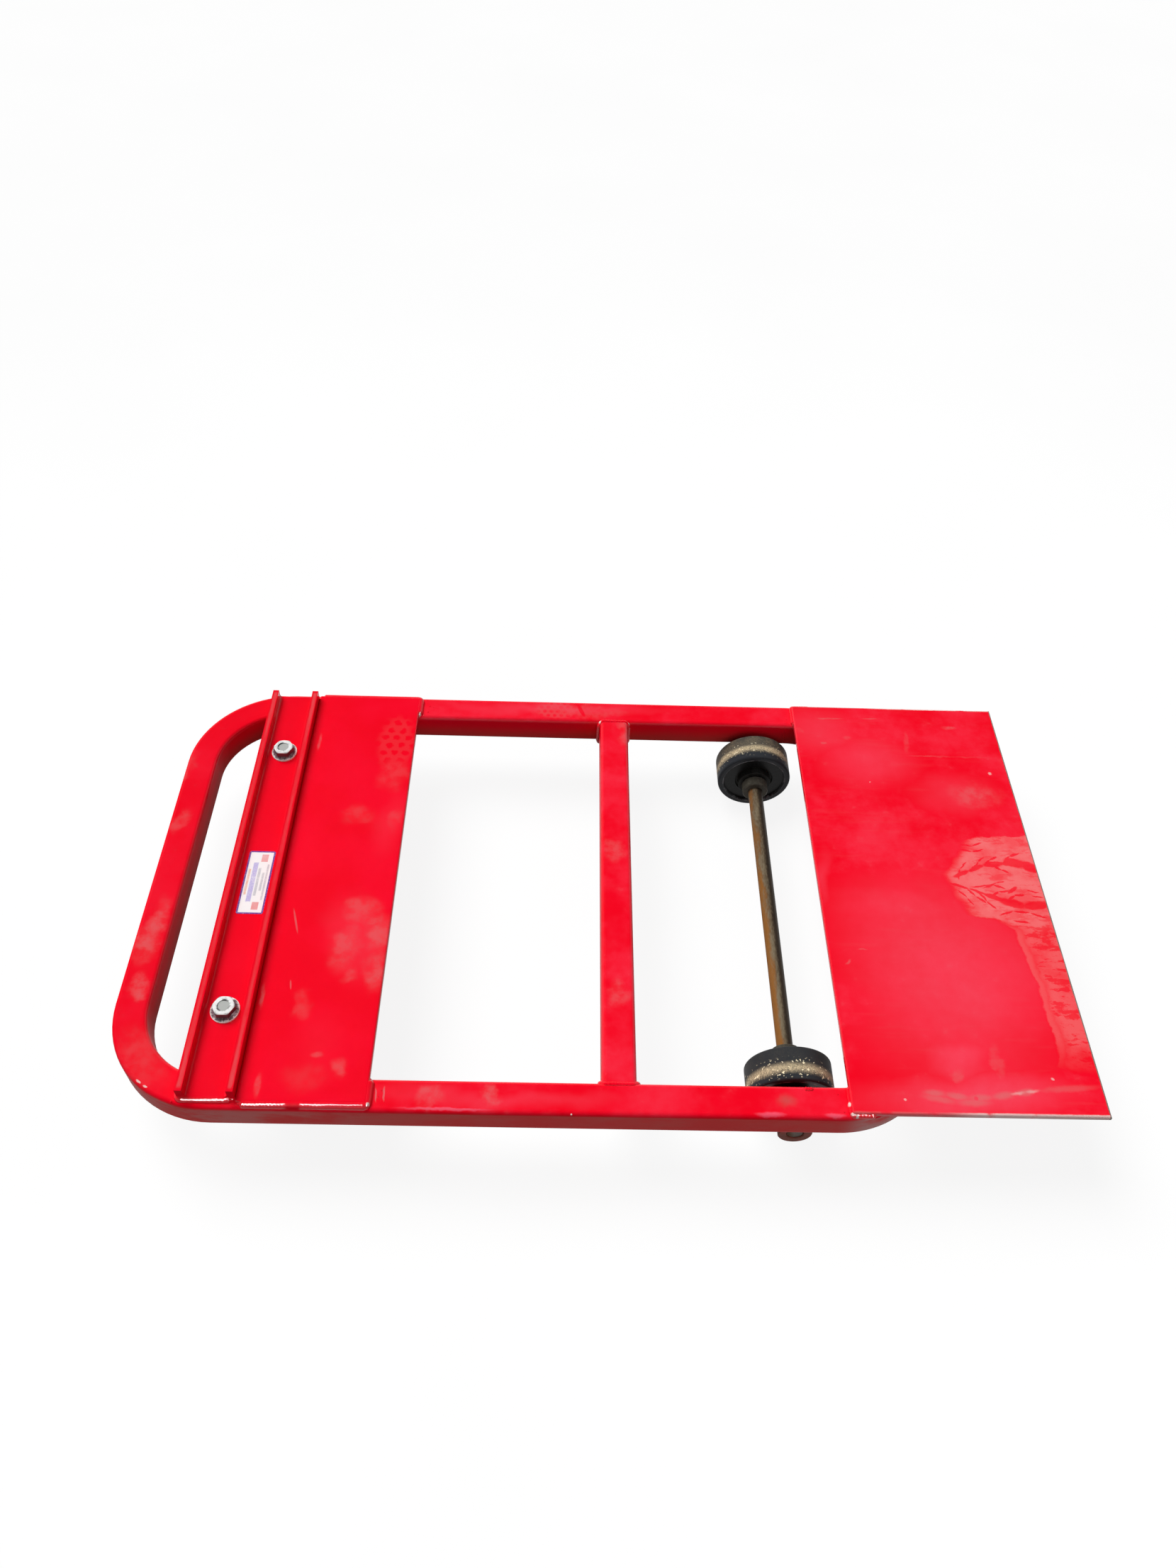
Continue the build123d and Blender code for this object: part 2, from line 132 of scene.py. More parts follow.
class Finish(Graph):  # one material; places are in millimetres on the object
    def __init__(self, name):
        self.material = bpy.data.materials.new(name)
        self.material.use_nodes = True
        super().__init__(self.material.node_tree)
        self.tree.nodes.clear()
        spot = self.add("ShaderNodeTexCoord", out="Object")
        self.place = self.add("ShaderNodeVectorMath", {"operation": "SCALE"}, {0: spot, "Scale": 1 / mm})
        split = self.add("ShaderNodeSeparateXYZ", sockets={0: self.place})
        self.x = split["X"]
        self.y = split["Y"]
        self.z = split["Z"]

    def noise(self, size, detail=3.0, rough=0.5, stretch=(1, 1, 1), seed=0.0, place=None):
        scale = [1 / (size * share) for share in stretch]
        shift = (seed, seed * 1.7, 0)
        placed = {0: place or self.place, "Scale": scale, "Location": shift}
        moved = self.add("ShaderNodeMapping", None, placed)
        sockets = {"Vector": moved, "Scale": 1, "Detail": detail, "Roughness": rough}
        return self.add("ShaderNodeTexNoise", None, sockets)

    def ramp(self, value, low, high):
        settings = {"interpolation_type": "SMOOTHSTEP"}
        return self.add("ShaderNodeMapRange", settings, {"Value": value, "From Min": low, "From Max": high})

    def mix(self, mask, first, second):
        return self.add("ShaderNodeMix", {"data_type": "RGBA"}, {0: mask, 6: first, 7: second}, out=2)

    def coats(self, look, colour, **masks):  # colours of a look laid over the first, each through its mask
        for tint, mask in masks.items():
            colour = self.mix(mask, colour, look[tint])
        return colour

    def distance(self, dx, dy):
        return self.reckon("SQRT", dx * dx + dy * dy)

    def within(self, value, half, soft):  # 1 where a value lies within half of zero
        return self.ramp(abs(value), half + soft, half - soft)

    def bump(self, height, depth, strength):
        sockets = {"Height": height, "Distance": depth * mm, "Strength": strength}
        return self.add("ShaderNodeBump", None, sockets)

    def wander(self, size, reach, seed=0.0):  # the place, pushed about so that outlines come out ragged
        colour = self.noise(size, 4.0, 0.6, seed=seed)["Color"]
        push = self.add("ShaderNodeVectorMath", {"operation": "SUBTRACT"}, {0: colour, 1: (0.5, 0.5, 0.5)})
        push = self.add("ShaderNodeVectorMath", {"operation": "SCALE"}, {0: push, "Scale": reach})
        return self.add("ShaderNodeVectorMath", {"operation": "ADD"}, {0: self.place, 1: push})

    # Soft oval spot seen from above: its depth, 0 at the rim and 1 in the middle, ramped from low to high
    def patch(self, place, x, y, halfX, halfY, turn=0.0, low=0.0, high=1.0):
        turned = (0, 0, math.radians(turn))
        oval = {0: place, "Location": (x, y, 0), "Rotation": turned, "Scale": (halfX, halfY, flatHeight)}
        moved = self.add("ShaderNodeMapping", {"vector_type": "TEXTURE"}, oval)
        inward = self.add("ShaderNodeTexGradient", {"gradient_type": "SPHERICAL"}, {0: moved}, out="Fac")
        return self.ramp(inward, low, high)

    def strokes(self, place, lines, low, high):  # slim ovals, each from one point to another at a width
        drawn = 0.0
        for start, end, width in lines:
            run = Vector(end) - Vector(start)
            middle = (Vector(start) + Vector(end)) / 2
            turn = math.degrees(math.atan2(run.y, run.x))
            drawn = drawn | self.patch(place, *middle, run.length / 2 + width, width, turn, low, high)
        return drawn

    def drawnLine(self, value, low, high, points):  # through (value, result) pairs, results from low to high
        start = points[0][0]
        run = points[-1][0] - start
        bends = [((at - start) / run, (to - low) / (high - low)) for at, to in points]
        drawn = self.add("ShaderNodeFloatCurve", {"bends": bends}, {"Value": (value - start) / run})
        return drawn * (high - low) + low

    def shade(self, **sockets):
        names = {key.replace("_", " "): value for key, value in sockets.items()}
        surface = self.add("ShaderNodeBsdfPrincipled", None, names)
        self.add("ShaderNodeOutputMaterial", None, {"Surface": surface})
        return self.material


# Red paint: clean enamel under a gloss coat, haze and chalky rub marks, dull outer sides greyed by dust and a
# painted reflection, painted shade and highlights in places
enamel = {
    "clean": (0.98, 0.0008, 0.020),
    "deep": (0.94, 0.0006, 0.014),
    "darker": (0.86, 0.0006, 0.014),  # painted shade on the channel; on the handle, darker towards its end
    "haze": (0.97, 0.12, 0.195),
    "chalk": (0.70, 0.175, 0.18),
    "film": (0.96, 0.215, 0.215),
    "pale": (0.90, 0.70, 0.66),
    # greyish red of the tubes' outer sides: dust, and a painted reflection of the floor
    "grime": (0.78, 0.115, 0.105),
    # painted shade low on the tubes' inner sides; over the sleeves, painted shade with road muck
    "soot": (0.24, 0.085, 0.060),
    "bare": (0.21, 0.18, 0.145),
    "coatRough": 0.07,
    "coatIor": 1.3,
    "slim": 6.0,  # half width below which a scuff keeps its line
}
sideWearAndShade = {  # on a tube's sides: where each mark begins and where it is full
    "dull": (railTop / mm - 1.4, railTop / mm - 4.9),  # heights
    "edge": (railTop / mm - 0.05, railTop / mm - 0.35),
    # painted shade: where the inner sides begin to darken downward and where it is full
    "soot": (railTop / mm - 2.9, railTop / mm - 26.9),
    "edgeIn": (6.0, 4.0),  # in from the loop's outer faces
    "outer": (5.0, 1.0),
    "noseEnd": (208, 240),  # along x
    "handleEnd": (-150, -360),
    "nearSide": (-160, -235),  # along y
}


def inFromOutside(paint):  # how far a point lies inside the loop's outer faces, round its bends too
    bend = bendOut / mm
    dx = (loopLow.x / mm + bend - paint.x) | (paint.x - (bowHigh.x / mm - bend)) | 0.0
    dy = (abs(paint.y) - (railOut / mm - bend)) | 0.0
    return bend - paint.distance(dx, dy)


# Outer sides greyed by dust and a painted reflection, painted shade low down inside, worn towards the ends
# with a painted highlight at the nose end; gives back the gloss left
def tubeSides(paint, marks):
    dull = paint.ramp(paint.z, *sideWearAndShade["dull"])
    inside = inFromOutside(paint)
    outer = dull * paint.ramp(inside, *sideWearAndShade["outer"])
    streaky = paint.noise(24, 5.0, 0.6, (3.0, 3.0, 1.0), seed=6.0)
    # the outer sides greyed: dust, and a painted reflection of the floor
    greyedOuter = (outer * 0.98 + 0.02) * dull * (paint.ramp(streaky, 0.30, 0.70) * 0.4 + 0.5)
    # painted shade: the inner sides darker towards the bottom
    shadedLow = paint.ramp(paint.z + streaky * 8.0, *sideWearAndShade["soot"]) * (1 - outer) * 0.5
    marks["tone"] = paint.coats(enamel, marks["tone"], grime=greyedOuter, soot=shadedLow)
    # at the nose end the pale rub on the bow's outer face is also a painted highlight
    nose = paint.ramp(paint.x, *sideWearAndShade["noseEnd"])
    near = paint.ramp(paint.y, *sideWearAndShade["nearSide"]) * 0.75 + 0.25
    handle = paint.ramp(paint.x, *sideWearAndShade["handleEnd"]) * near
    ends = handle * paint.ramp(streaky, 0.40, 0.62) | nose * paint.ramp(streaky, 0.24, 0.50)
    marks["chalk"] = marks["chalk"] | outer * ends * (nose * 0.2 + 0.5)
    marks["pale"] = marks["pale"] | outer * ends * (nose * 0.30 + 0.15)
    marks["haze"] = marks["haze"] * (1 - dull)
    edge = paint.ramp(paint.z, *sideWearAndShade["edge"]) * paint.ramp(inside, *sideWearAndShade["edgeIn"])
    return (1 - dull) * (1 - edge)


def redPaint(name, wear, extra=None, tubular=False):
    paint = Finish(name)
    cloud = paint.noise(85, 4.0, 0.55)
    mottle = paint.noise(13, 5.0, 0.62, seed=3.0)
    broken = paint.ramp(mottle, 0.34, 0.64) * 0.75 + 0.25
    ragged = paint.wander(24, 28, seed=5.0)
    slight = paint.wander(12, 5, seed=5.0)
    easy = paint.wander(120, 60, seed=8.0)
    marks = {
        "tone": paint.mix(paint.ramp(cloud, 0.36, 0.64), enamel["deep"], enamel["clean"]),
        "haze": paint.ramp(cloud * 0.7 + mottle * 0.3, 0.40, 0.72) * wear["cloudy"],
        "chalk": paint.ramp(mottle, 0.62, 0.80) * wear["cloudy"] * 0.5,
        "film": 0.0,
        "pale": 0.0,
        "gloss": 1.0,
    }
    for *oval, weight in wear.get("haze", ()):
        marks["haze"] = marks["haze"] | paint.patch(easy, *oval) * (mottle * 0.6 + 0.7) * weight
    for *oval, weight in wear.get("scuffs", ()):
        slim = min(oval[2:4]) < enamel["slim"]
        rub = paint.patch(slight if slim else ragged, *oval, high=0.7)
        marks["chalk"] = marks["chalk"] | rub * broken * weight
    if extra:
        extra(paint, marks)
    gloss = (1 - marks["chalk"] * 0.8) * marks["gloss"]
    if tubular:
        gloss = gloss * tubeSides(paint, marks)
    layers = {layer: marks[layer] for layer in ("haze", "chalk", "film", "pale") if marks[layer]}
    peel = paint.noise(3.4, 2.0, 0.4, seed=9.0) * 0.5 + paint.noise(40, 2.0, 0.4, seed=1.0) * 2.0
    return paint.shade(
        Base_Color=paint.coats(enamel, marks["tone"], **layers),
        Roughness=marks["chalk"] * 0.2 + 0.45,
        Specular_IOR_Level=0.02,
        Coat_Weight=gloss,
        Coat_Roughness=enamel["coatRough"],
        Coat_IOR=enamel["coatIor"],
        Normal=paint.bump(peel, 0.16, 0.3),
    )


# Marks by piece. Haze and scuffs: x, y, half length, half width, turn in degrees, strength.
# Lines: start, end, width.
tubeWearAndHighlights = {
    "cloudy": 0.18,
    "haze": [(-90, -239, 170, 14, 0, 0.22), (-60, 239, 190, 14, 0, 0.27)],
    # painted highlights: pale pink lines along the near rail's outer top edge
    "rubs": [
        ((135, -250.5), (163, -250.0), 3.2),
        ((196, -250.5), (216, -250.5), 2.6),
        ((-190, -250.5), (-84, -250.5), 2.0),
    ],
    # pale lines beside the deck's weld on the near rail: scratches and painted highlights of the bead
    "scratches": [((-201, -231), (-199.2, -246), 1.0), ((-193.9, -229), (-192.5, -245), 1.3)],
    # painted highlights: small pale spots on the near-left bend's outer top edge
    "glints": [((-412.5, -228), (-408.5, -230.8), 1.1), ((-405, -233.2), (-402, -234.8), 1.0)],
    "clean": (-300, -380),  # along x, where the handle end turns clearer of haze and darker
    "scuffs": [
        (-450, 140, 9, 26, -8, 0.28),
        (-442, 63, 11, 22, -10, 0.30),
        (-436, -72, 15, 46, -5, 0.48),
        (-434, -134, 13, 18, 0, 0.48),
        (-412, -204, 26, 44, 35, 0.20),
        (-153, -238, 13, 14, 0, 0.42),
        (-99, -238, 11, 12, 0, 0.42),
        (-20, 238, 70, 13, 0, 0.26),
    ],
    "print": {"oval": (-50, 239, 30, 15), "fade": 0.4, "pitch": 7.5, "dot": 2.1, "stray": 2.0, "chalk": 0.25},
    "bar": [((-18, 229), (-26, 248.5), 3.5)],  # clean paint across the print
    "spot": (164, -237, 13, 9),  # worn towards the bare metal
}


def printedDots(paint, place, look):  # chalk between round spots in staggered rows, as packing leaves it
    pitch = look["pitch"]
    rowPitch = pitch * math.sqrt(3) / 2
    spot = paint.add("ShaderNodeSeparateXYZ", sockets={0: paint.wander(pitch * 0.9, look["stray"], 2.0)})
    rows = spot["Y"] / rowPitch
    row = paint.reckon("FLOOR", rows)
    along = spot["X"] / pitch + paint.reckon("FLOORED_MODULO", row, 2.0) * 0.5
    dx = (along - paint.reckon("FLOOR", along) - 0.5) * pitch
    dy = (rows - row - 0.5) * rowPitch
    dots = paint.ramp(paint.distance(dx, dy), look["dot"] + 1.2, look["dot"] - 1.2)
    return paint.patch(place, *look["oval"], high=look["fade"]) * (1 - dots) * look["chalk"]


def tubeMarks(paint, marks):
    bar = paint.strokes(paint.place, tubeWearAndHighlights["bar"], 0.1, 0.5)
    clean = paint.ramp(paint.x, *tubeWearAndHighlights["clean"])
    # pale lines beside the deck's weld: scratches and painted highlights
    scratches = paint.strokes(paint.wander(5, 2.5, 7.0), tubeWearAndHighlights["scratches"], 0.05, 0.5) * 0.65
    printed = printedDots(paint, paint.place, tubeWearAndHighlights["print"])
    marks["chalk"] = (marks["chalk"] | printed) * (1 - bar) | scratches
    # painted highlights along the near rail's outer top edge, laid into the haze
    rubs = paint.strokes(paint.wander(9, 4, 3.0), tubeWearAndHighlights["rubs"], 0.0, 0.7) * 0.75
    marks["haze"] = marks["haze"] * (1 - bar * 0.7) * (1 - clean * 0.7) | rubs
    # painted highlights as pale spots on the bend's edge
    marks["pale"] = paint.strokes(paint.wander(4, 1.5, 4.0), tubeWearAndHighlights["glints"], 0.0, 0.5) * 0.8
    worn = paint.patch(paint.wander(6, 6, 2.0), *tubeWearAndHighlights["spot"]) * 0.34
    marks["tone"] = paint.coats(enamel, marks["tone"], darker=clean * 0.5, bare=worn)


deckWear = {
    "cloudy": 0.015,
    "haze": [(-240, -78, 42, 70, 0, 0.16), (-222, 60, 24, 60, 0, 0.10), (-262, -200, 40, 50, 0, 0.04)],
    "scuffs": [
        (-225, 132, 20, 32, 0, 0.20),
        (-256, 75, 20, 18, 20, 0.20),
        (-216, 70, 11, 15, 0, 0.20),
        (-237, -44, 24, 20, 25, 0.33),
        (-218, -72, 18, 28, 10, 0.42),
        (-247, -88, 20, 36, -12, 0.33),
        (-215, -116, 14, 28, 0, 0.42),
        (-238, -121, 11, 11, 0, 0.28),
        (-278, -153, 10, 20, 10, 0.24),
        (-234, -214, 11, 14, 0, 0.34),
        (-256, -203, 8, 4, 0, 0.4),
        (-262, -226, 30, 18, 0, 0.12),
        (-304, -234, 4, 15, 0, 0.40),
        (-316, -144, 2.6, 17, 2, 0.45),
        (-311.7, 177, 2.2, 16, 0, 0.45),
    ],
    "bubbles": {"oval": (-227, 176, 25, 50), "fade": 0.45, "pitch": 13, "dot": 4, "stray": 11, "chalk": 0.11},
    "scratches": [((-304, -43), (-294, -77), 1.2), ((-293, -126), (-291, -137), 1.0)],
}


def deckMarks(paint, marks):
    bubbles = printedDots(paint, paint.wander(18, 12, 6.0), deckWear["bubbles"])
    scratches = paint.strokes(paint.place, deckWear["scratches"], 0.05, 0.4) * 0.5
    marks["chalk"] = marks["chalk"] | bubbles | scratches


channelWearAndHighlight = {  # chalky rub along the flanges' tips, most towards their ends; kept to each tip's middle as a painted highlight line
    "cloudy": 0.012,
    "tip": (channelHigh.z / mm - 0.8, channelHigh.z / mm - 0.05),
    "ridges": (channelLow.x / mm + 3.4, channelHigh.x / mm - 3.0),
    "ridge": (2.6, 0.8),  # away from a ridge's middle
    "ends": (150, 240),  # away from the middle, along the flanges
    "stop": (243.5, 240.0),
    "gloss": (channelHigh.y / mm - 0.1, channelHigh.y / mm - 0.3),  # none on the sawn ends
}


def channelMarks(paint, marks):
    across = abs(paint.y)
    tip = paint.ramp(paint.z, *channelWearAndHighlight["tip"]) * paint.ramp(across, *channelWearAndHighlight["stop"])
    patchy = paint.ramp(paint.noise(7, 5.0, 0.65, (1.0, 4.0, 1.0), seed=2.0), 0.34, 0.66)
    ends = paint.ramp(across, *channelWearAndHighlight["ends"])
    first, second = (abs(paint.x - middle) for middle in channelWearAndHighlight["ridges"])
    # the chalk kept to the middle of each tip: a painted highlight line along the ridge
    ridge = paint.ramp((first & second) + (patchy - 0.5) * 1.2, *channelWearAndHighlight["ridge"])
    marks["chalk"] = marks["chalk"] | tip * ridge * (patchy * 0.18 + ends * 0.20 + 0.07)
    marks["gloss"] = paint.ramp(across, *channelWearAndHighlight["gloss"])
    # a darker red over the whole channel: painted shade, as between its flanges
    marks["tone"] = paint.mix(0.6, marks["tone"], enamel["darker"])


def sleeveMarks(paint, marks):  # dark brown all over, thin in places: painted shade under the rail, with road muck
    # painted shade and road muck over the red
    shadeAndDirt = paint.ramp(paint.noise(9, 4.0, 0.6, seed=4.0), 0.25, 0.60)
    marks["tone"] = paint.mix(shadeAndDirt * 0.25 + 0.72, marks["tone"], enamel["soot"])
    marks["haze"] = marks["haze"] * 0.2
    marks["gloss"] = 0.1


crossWear = {
    "cloudy": 0.22,
    "scuffs": [(32, 210, 16, 38, 0, 0.45), (14, 38, 12, 20, 0, 0.30), (15, -130, 13, 20, 0, 0.30)],
}

noseWearAndHighlights = {
    "cloudy": 0.22,
    "haze": [
        (335, -100, 150, 190, 0, 0.38),
        (349, -126, 92, 108, 8, 0.40),
        (318, -28, 118, 56, 0, 0.32),
        (297, 166, 78, 62, 0, 0.30),
        (250, 205, 70, 52, 0, 0.26),
        (233, 10, 12, 62, -4, 0.22),
        (385, 120, 66, 40, 0, 0.22),
        (330, -228, 150, 34, 0, 0.48),
        (322, -192, 60, 40, 10, 0.42),
    ],
    "scuffs": [
        (409, 120, 36, 22, -8, 0.36),
        (362, -198, 7, 17, 0, 0.24),
        (321, -211, 7, 10, 0, 0.26),
        (345, 196, 4, 24, -8, 0.22),
        (398, 221, 11, 4, 0, 0.55),
        (263, 231.5, 19, 2.0, 0, 0.42),
        (309, 232.5, 14, 1.6, 0, 0.30),
        (227, 211, 6, 8, 30, 0.26),
        (251, 192.4, 5, 2.4, 0, 0.40),
        (279, 202, 6, 4, 0, 0.24),
        (384, 176.5, 64, 1.8, 0, 0.20),
    ],
    "filmEdge": [  # where the dried film begins, as y and x
        (-217, 460), (-212, 440), (-204, 414), (-189, 419), (-176, 420), (-162, 421), (-153, 418),
        (-135, 418), (-121, 418), (-103, 416.5), (-90, 414.5), (-71, 412), (-54, 411), (-47, 404), (-41, 392),
        (-37, 368), (-18, 360), (-3, 355), (13, 352), (25, 361), (40, 371), (52, 377), (58, 383), (63, 400),
        (67, 460),
    ],
    "filmSpan": (340, 460),
    "filmUpper": (-62, -38),
    "filmEnd": (-200, -158),
    "branches": [  # clean paint through the film: a path and its width
        ([(362, 10), (379, 18), (396, 26)], 3.5),
        ([(396, 26), (418, 28.5), (428, 31)], 4.75),
        ([(422, 31), (438, 28), (451, 21)], 7.75),
        ([(356, 2), (375, -4.6), (391, -11.5)], 2.25),
        ([(388, -10.5), (408, -18.4)], 4),
        ([(404, -18), (427, -25), (451, -22.5)], 6.5),
        ([(374, 46.5), (388, 43), (401, 46.4)], 1.5),
        ([(375.5, 52.4), (389, 50.8), (401, 55)], 1.375),
        ([(375, -2.8), (400, 0.8), (412.7, -3.6)], 1.5),
        ([(390, -4), (405, 3.6), (413, 5.6)], 1.375),
        ([(414.5, -9), (424, -1.5)], 2.75),
        ([(434, -5), (446.5, -8.3)], 1.375),
        ([(437, -12), (449, -14)], 1.375),
        ([(399, -36.6), (414, -31), (431, -33), (446, -39)], 1.75),
        ([(411, -43), (428, -44.7)], 1.625),
        ([(398, 26), (404, 33), (413, 37)], 1.625),
        ([(384, 20), (392, 30), (398, 36)], 1.375),
        ([(416, 28), (426, 38), (437, 42)], 1.875),
        ([(405, 27), (414, 20), (421, 17)], 1.625),
        ([(372, -4), (380, -14), (389, -22)], 1.625),
        ([(384, -9), (390, -20), (398, -29)], 1.625),
        ([(396, -14), (405, -8), (417, -6)], 1.625),
        ([(410, -19), (420, -12), (430, -11)], 2),
        ([(366, 6), (370, 20), (379, 30)], 1.375),
        ([(363, -6), (371, -16), (376, -25)], 1.25),
    ],
    "streaks": [
        ([(288, -229.5), (306, -230.6), (327, -234.5), (348, -233), (370, -229.4), (387, -226.3)], 5.0, 0.55),
        ([(284.6, -232.4), (315, -238.9), (347, -238.3)], 5.0, 0.45),
        ([(387, -226), (452, -221)], 4.5, 0.32),
        ([(249, -80), (260, -80)], 1.0, 0.35),
        ([(236, -97), (241, -92)], 2.0, 0.4),
    ],
    "core": ([(366, -230), (379, -228), (392, -225.5)], 2.4),  # palest part of the longest streak
    "specks": [(407.5, -214.4, 2.2), (269.4, -236.4, 1.8), (430.5, 152.8, 3.0), (294.8, 136.7, 1.2)],
    "dot": (333.3, -234.3, 3.0, 3.0),  # clean paint in a streak
    "tip": (noseHigh.x / mm - 1.55, noseHigh.x / mm - 0.55),  # edges: the tip worn bare; painted highlights on the left edge, as chalk, and on the long edges, as chalk turning pale
    "lip": (noseLow.x / mm + 1.8, noseLow.x / mm + 0.4),
    "side": (noseHigh.y / mm - 2.4, noseHigh.y / mm - 0.8),
    # along x, where the long edges' painted highlight turns pale
    "sidePale": (300, 340),
}


def legs(path, width):  # a path as strokes from point to point
    return [(start, end, width) for start, end in zip(path, path[1:])]


# Dried film at the nose's tip: thickest at the top, broken by clean branches and twigs, with a rim lower down
def driedFilm(paint, slight, mottle):
    ragged = paint.add("ShaderNodeSeparateXYZ", sockets={0: paint.wander(16, 10, 11.0)})
    into = ragged["X"] - paint.drawnLine(ragged["Y"], *noseWearAndHighlights["filmSpan"], noseWearAndHighlights["filmEdge"])
    upper = paint.ramp(paint.y, *noseWearAndHighlights["filmUpper"])
    thick = (upper * 0.28 + 0.40) * (paint.ramp(mottle, 0.34, 0.62) * 0.5 + 0.5)
    branches = [leg for path, width in noseWearAndHighlights["branches"] for leg in legs(path, width)]
    clear = paint.strokes(slight, branches, 0.05, 0.40) * 0.85
    flecks = paint.noise(6.5, 4.0, 0.62, (3.2, 1.0, 1.0), seed=15.0, place=slight)
    twigs = paint.ramp(flecks, 0.50, 0.58) * (0.75 - upper * 0.35)
    rim = paint.ramp(into, -1.0, 1.5) * paint.ramp(into, 12.0, 2.5) * (1 - upper)
    film = paint.ramp(into, -1.5, 13.0) * thick * (1 - clear) * (1 - twigs) | rim * 0.30
    film = film * paint.ramp(paint.y + mottle * 20.0, *noseWearAndHighlights["filmEnd"])
    return film, paint.ramp(into, -4.0, 6.0)


def noseMarks(paint, marks):
    slight = paint.wander(7, 4.0, 4.0)
    mottle = paint.noise(22, 4.0, 0.55, seed=12.0)
    film, inFilm = driedFilm(paint, slight, mottle)
    chalk = marks["chalk"] | film * 0.15
    for path, width, weight in noseWearAndHighlights["streaks"]:
        chalk = chalk | paint.strokes(slight, legs(path, width), 0.0, 0.8) * weight
    # painted highlights along the left edge and the long edges, laid on as chalk
    lip = paint.ramp(paint.x, *noseWearAndHighlights["lip"])
    side = paint.ramp(abs(paint.y) + paint.noise(8, 3.0, 0.6, seed=6.0), *noseWearAndHighlights["side"])
    chalk = chalk | (lip * 0.08 | side * 0.55) * paint.ramp(mottle, 0.32, 0.56)
    grain = paint.noise(9, 3.0, 0.6, (8.0, 1.0, 1.0), seed=8.0)
    chalk = chalk | paint.ramp(grain, 0.54, 0.80) * 0.06
    pale = paint.strokes(slight, legs(*noseWearAndHighlights["core"]), 0.0, 0.9) * 0.34
    # the long edges' painted highlight, pale towards the tip
    pale = pale | side * paint.ramp(mottle, 0.32, 0.46) * paint.ramp(paint.x, *noseWearAndHighlights["sidePale"]) * 0.8
    for x, y, radius in noseWearAndHighlights["specks"]:
        pale = pale | paint.patch(slight, x, y, radius, radius, low=0.1, high=0.6) * 0.5
    marks["haze"] = marks["haze"] * (1 - inFilm * 0.8) | film * 0.2
    marks["chalk"] = chalk * (1 - paint.patch(paint.place, *noseWearAndHighlights["dot"], low=0.1, high=0.6))
    marks["film"] = film * 1.1
    marks["pale"] = pale
    tip = paint.ramp(paint.x + paint.noise(12, 3.0, 0.6, seed=2.0) * 1.6, *noseWearAndHighlights["tip"])
    for layer in ("haze", "chalk", "film", "pale"):
        marks[layer] = marks[layer] * (1 - tip)
    marks["tone"] = paint.mix(tip, marks["tone"], enamel["bare"])


weldWearAndGlints = {
    "cloudy": 0.06,
    # painted highlights: small pale spots on the beads
    "glints": [
        (219.4, -241.0, 1.5, 2.8),
        (221.9, -250.2, 3.2, 2.0),
        (224.9, -252.2, 1.6, 2.4),
        (216.6, 223.2, 3.0, 1.7),
        (-0.8, 223.2, 1.8, 2.8),
        (33.0, 223.4, 1.8, 2.8),
        (-205.4, 224.6, 1.6, 2.6),
        (-205.4, -249.0, 1.8, 1.8),
        (-27.3, -253.0, 2.2, 1.6),
    ],
    "dull": (-271.0, -250.0, 8.0, 9.0),  # where a bead has no gloss
}


def weldMarks(paint, marks):
    slight = paint.wander(4, 1.5, 4.0)
    # painted highlights on the beads, as pale spots
    for oval in weldWearAndGlints["glints"]:
        marks["pale"] = marks["pale"] | paint.patch(slight, *oval, high=0.5) * 0.9
    marks["gloss"] = 1 - paint.patch(paint.place, *weldWearAndGlints["dull"], high=0.3)


tubePaint = redPaint("redTubePaint", tubeWearAndHighlights, tubeMarks, tubular=True)
sleevePaint = redPaint("redSleevePaint", {"cloudy": 0.1}, sleeveMarks)
weldPaint = redPaint("redWeldPaint", weldWearAndGlints, weldMarks)
paints = {
    "handle_bow": tubePaint,
    "nose_bow": tubePaint,
    "cross_bar": redPaint("redCrossPaint", crossWear, tubular=True),
    "deck_plate": redPaint("redDeckPaint", deckWear, deckMarks),
    "caster_channel": redPaint("redChannelPaint", channelWearAndHighlight, channelMarks),
    "nose_plate": redPaint("redNosePaint", noseWearAndHighlights, noseMarks),
    "axle_sleeve_near": sleevePaint,
    "axle_sleeve_far": sleevePaint,
}
print("red paints ready")

# Load wheels: black rubber with a tan dusty band round the tread, off the middle as it has worn
treadWear = {
    "near": {"band": (-204.6, -197.6), "dusty": 0.12, "flecks": 1.0},
    "far": {"band": (190.4, 197.8), "dusty": 0.95, "flecks": 0.6},
}
rubberLook = {
    "black": (0.005, 0.005, 0.005),
    "grey": (0.020, 0.020, 0.021),
    "lip": (0.026, 0.029, 0.034),
    "tan": (0.66, 0.53, 0.33),
    "gold": (0.98, 0.86, 0.58),
    "dust": (0.165, 0.135, 0.090),
    # pale of the lip's broken ring: painted highlight, laid on as worn rubber
    "rubbed": (0.42, 0.43, 0.45),
    "treadIn": (3.2, 1.4),  # depths in from the tread
    "rimIn": (7.4, 5.8),
    "lipIn": 6.3,
}


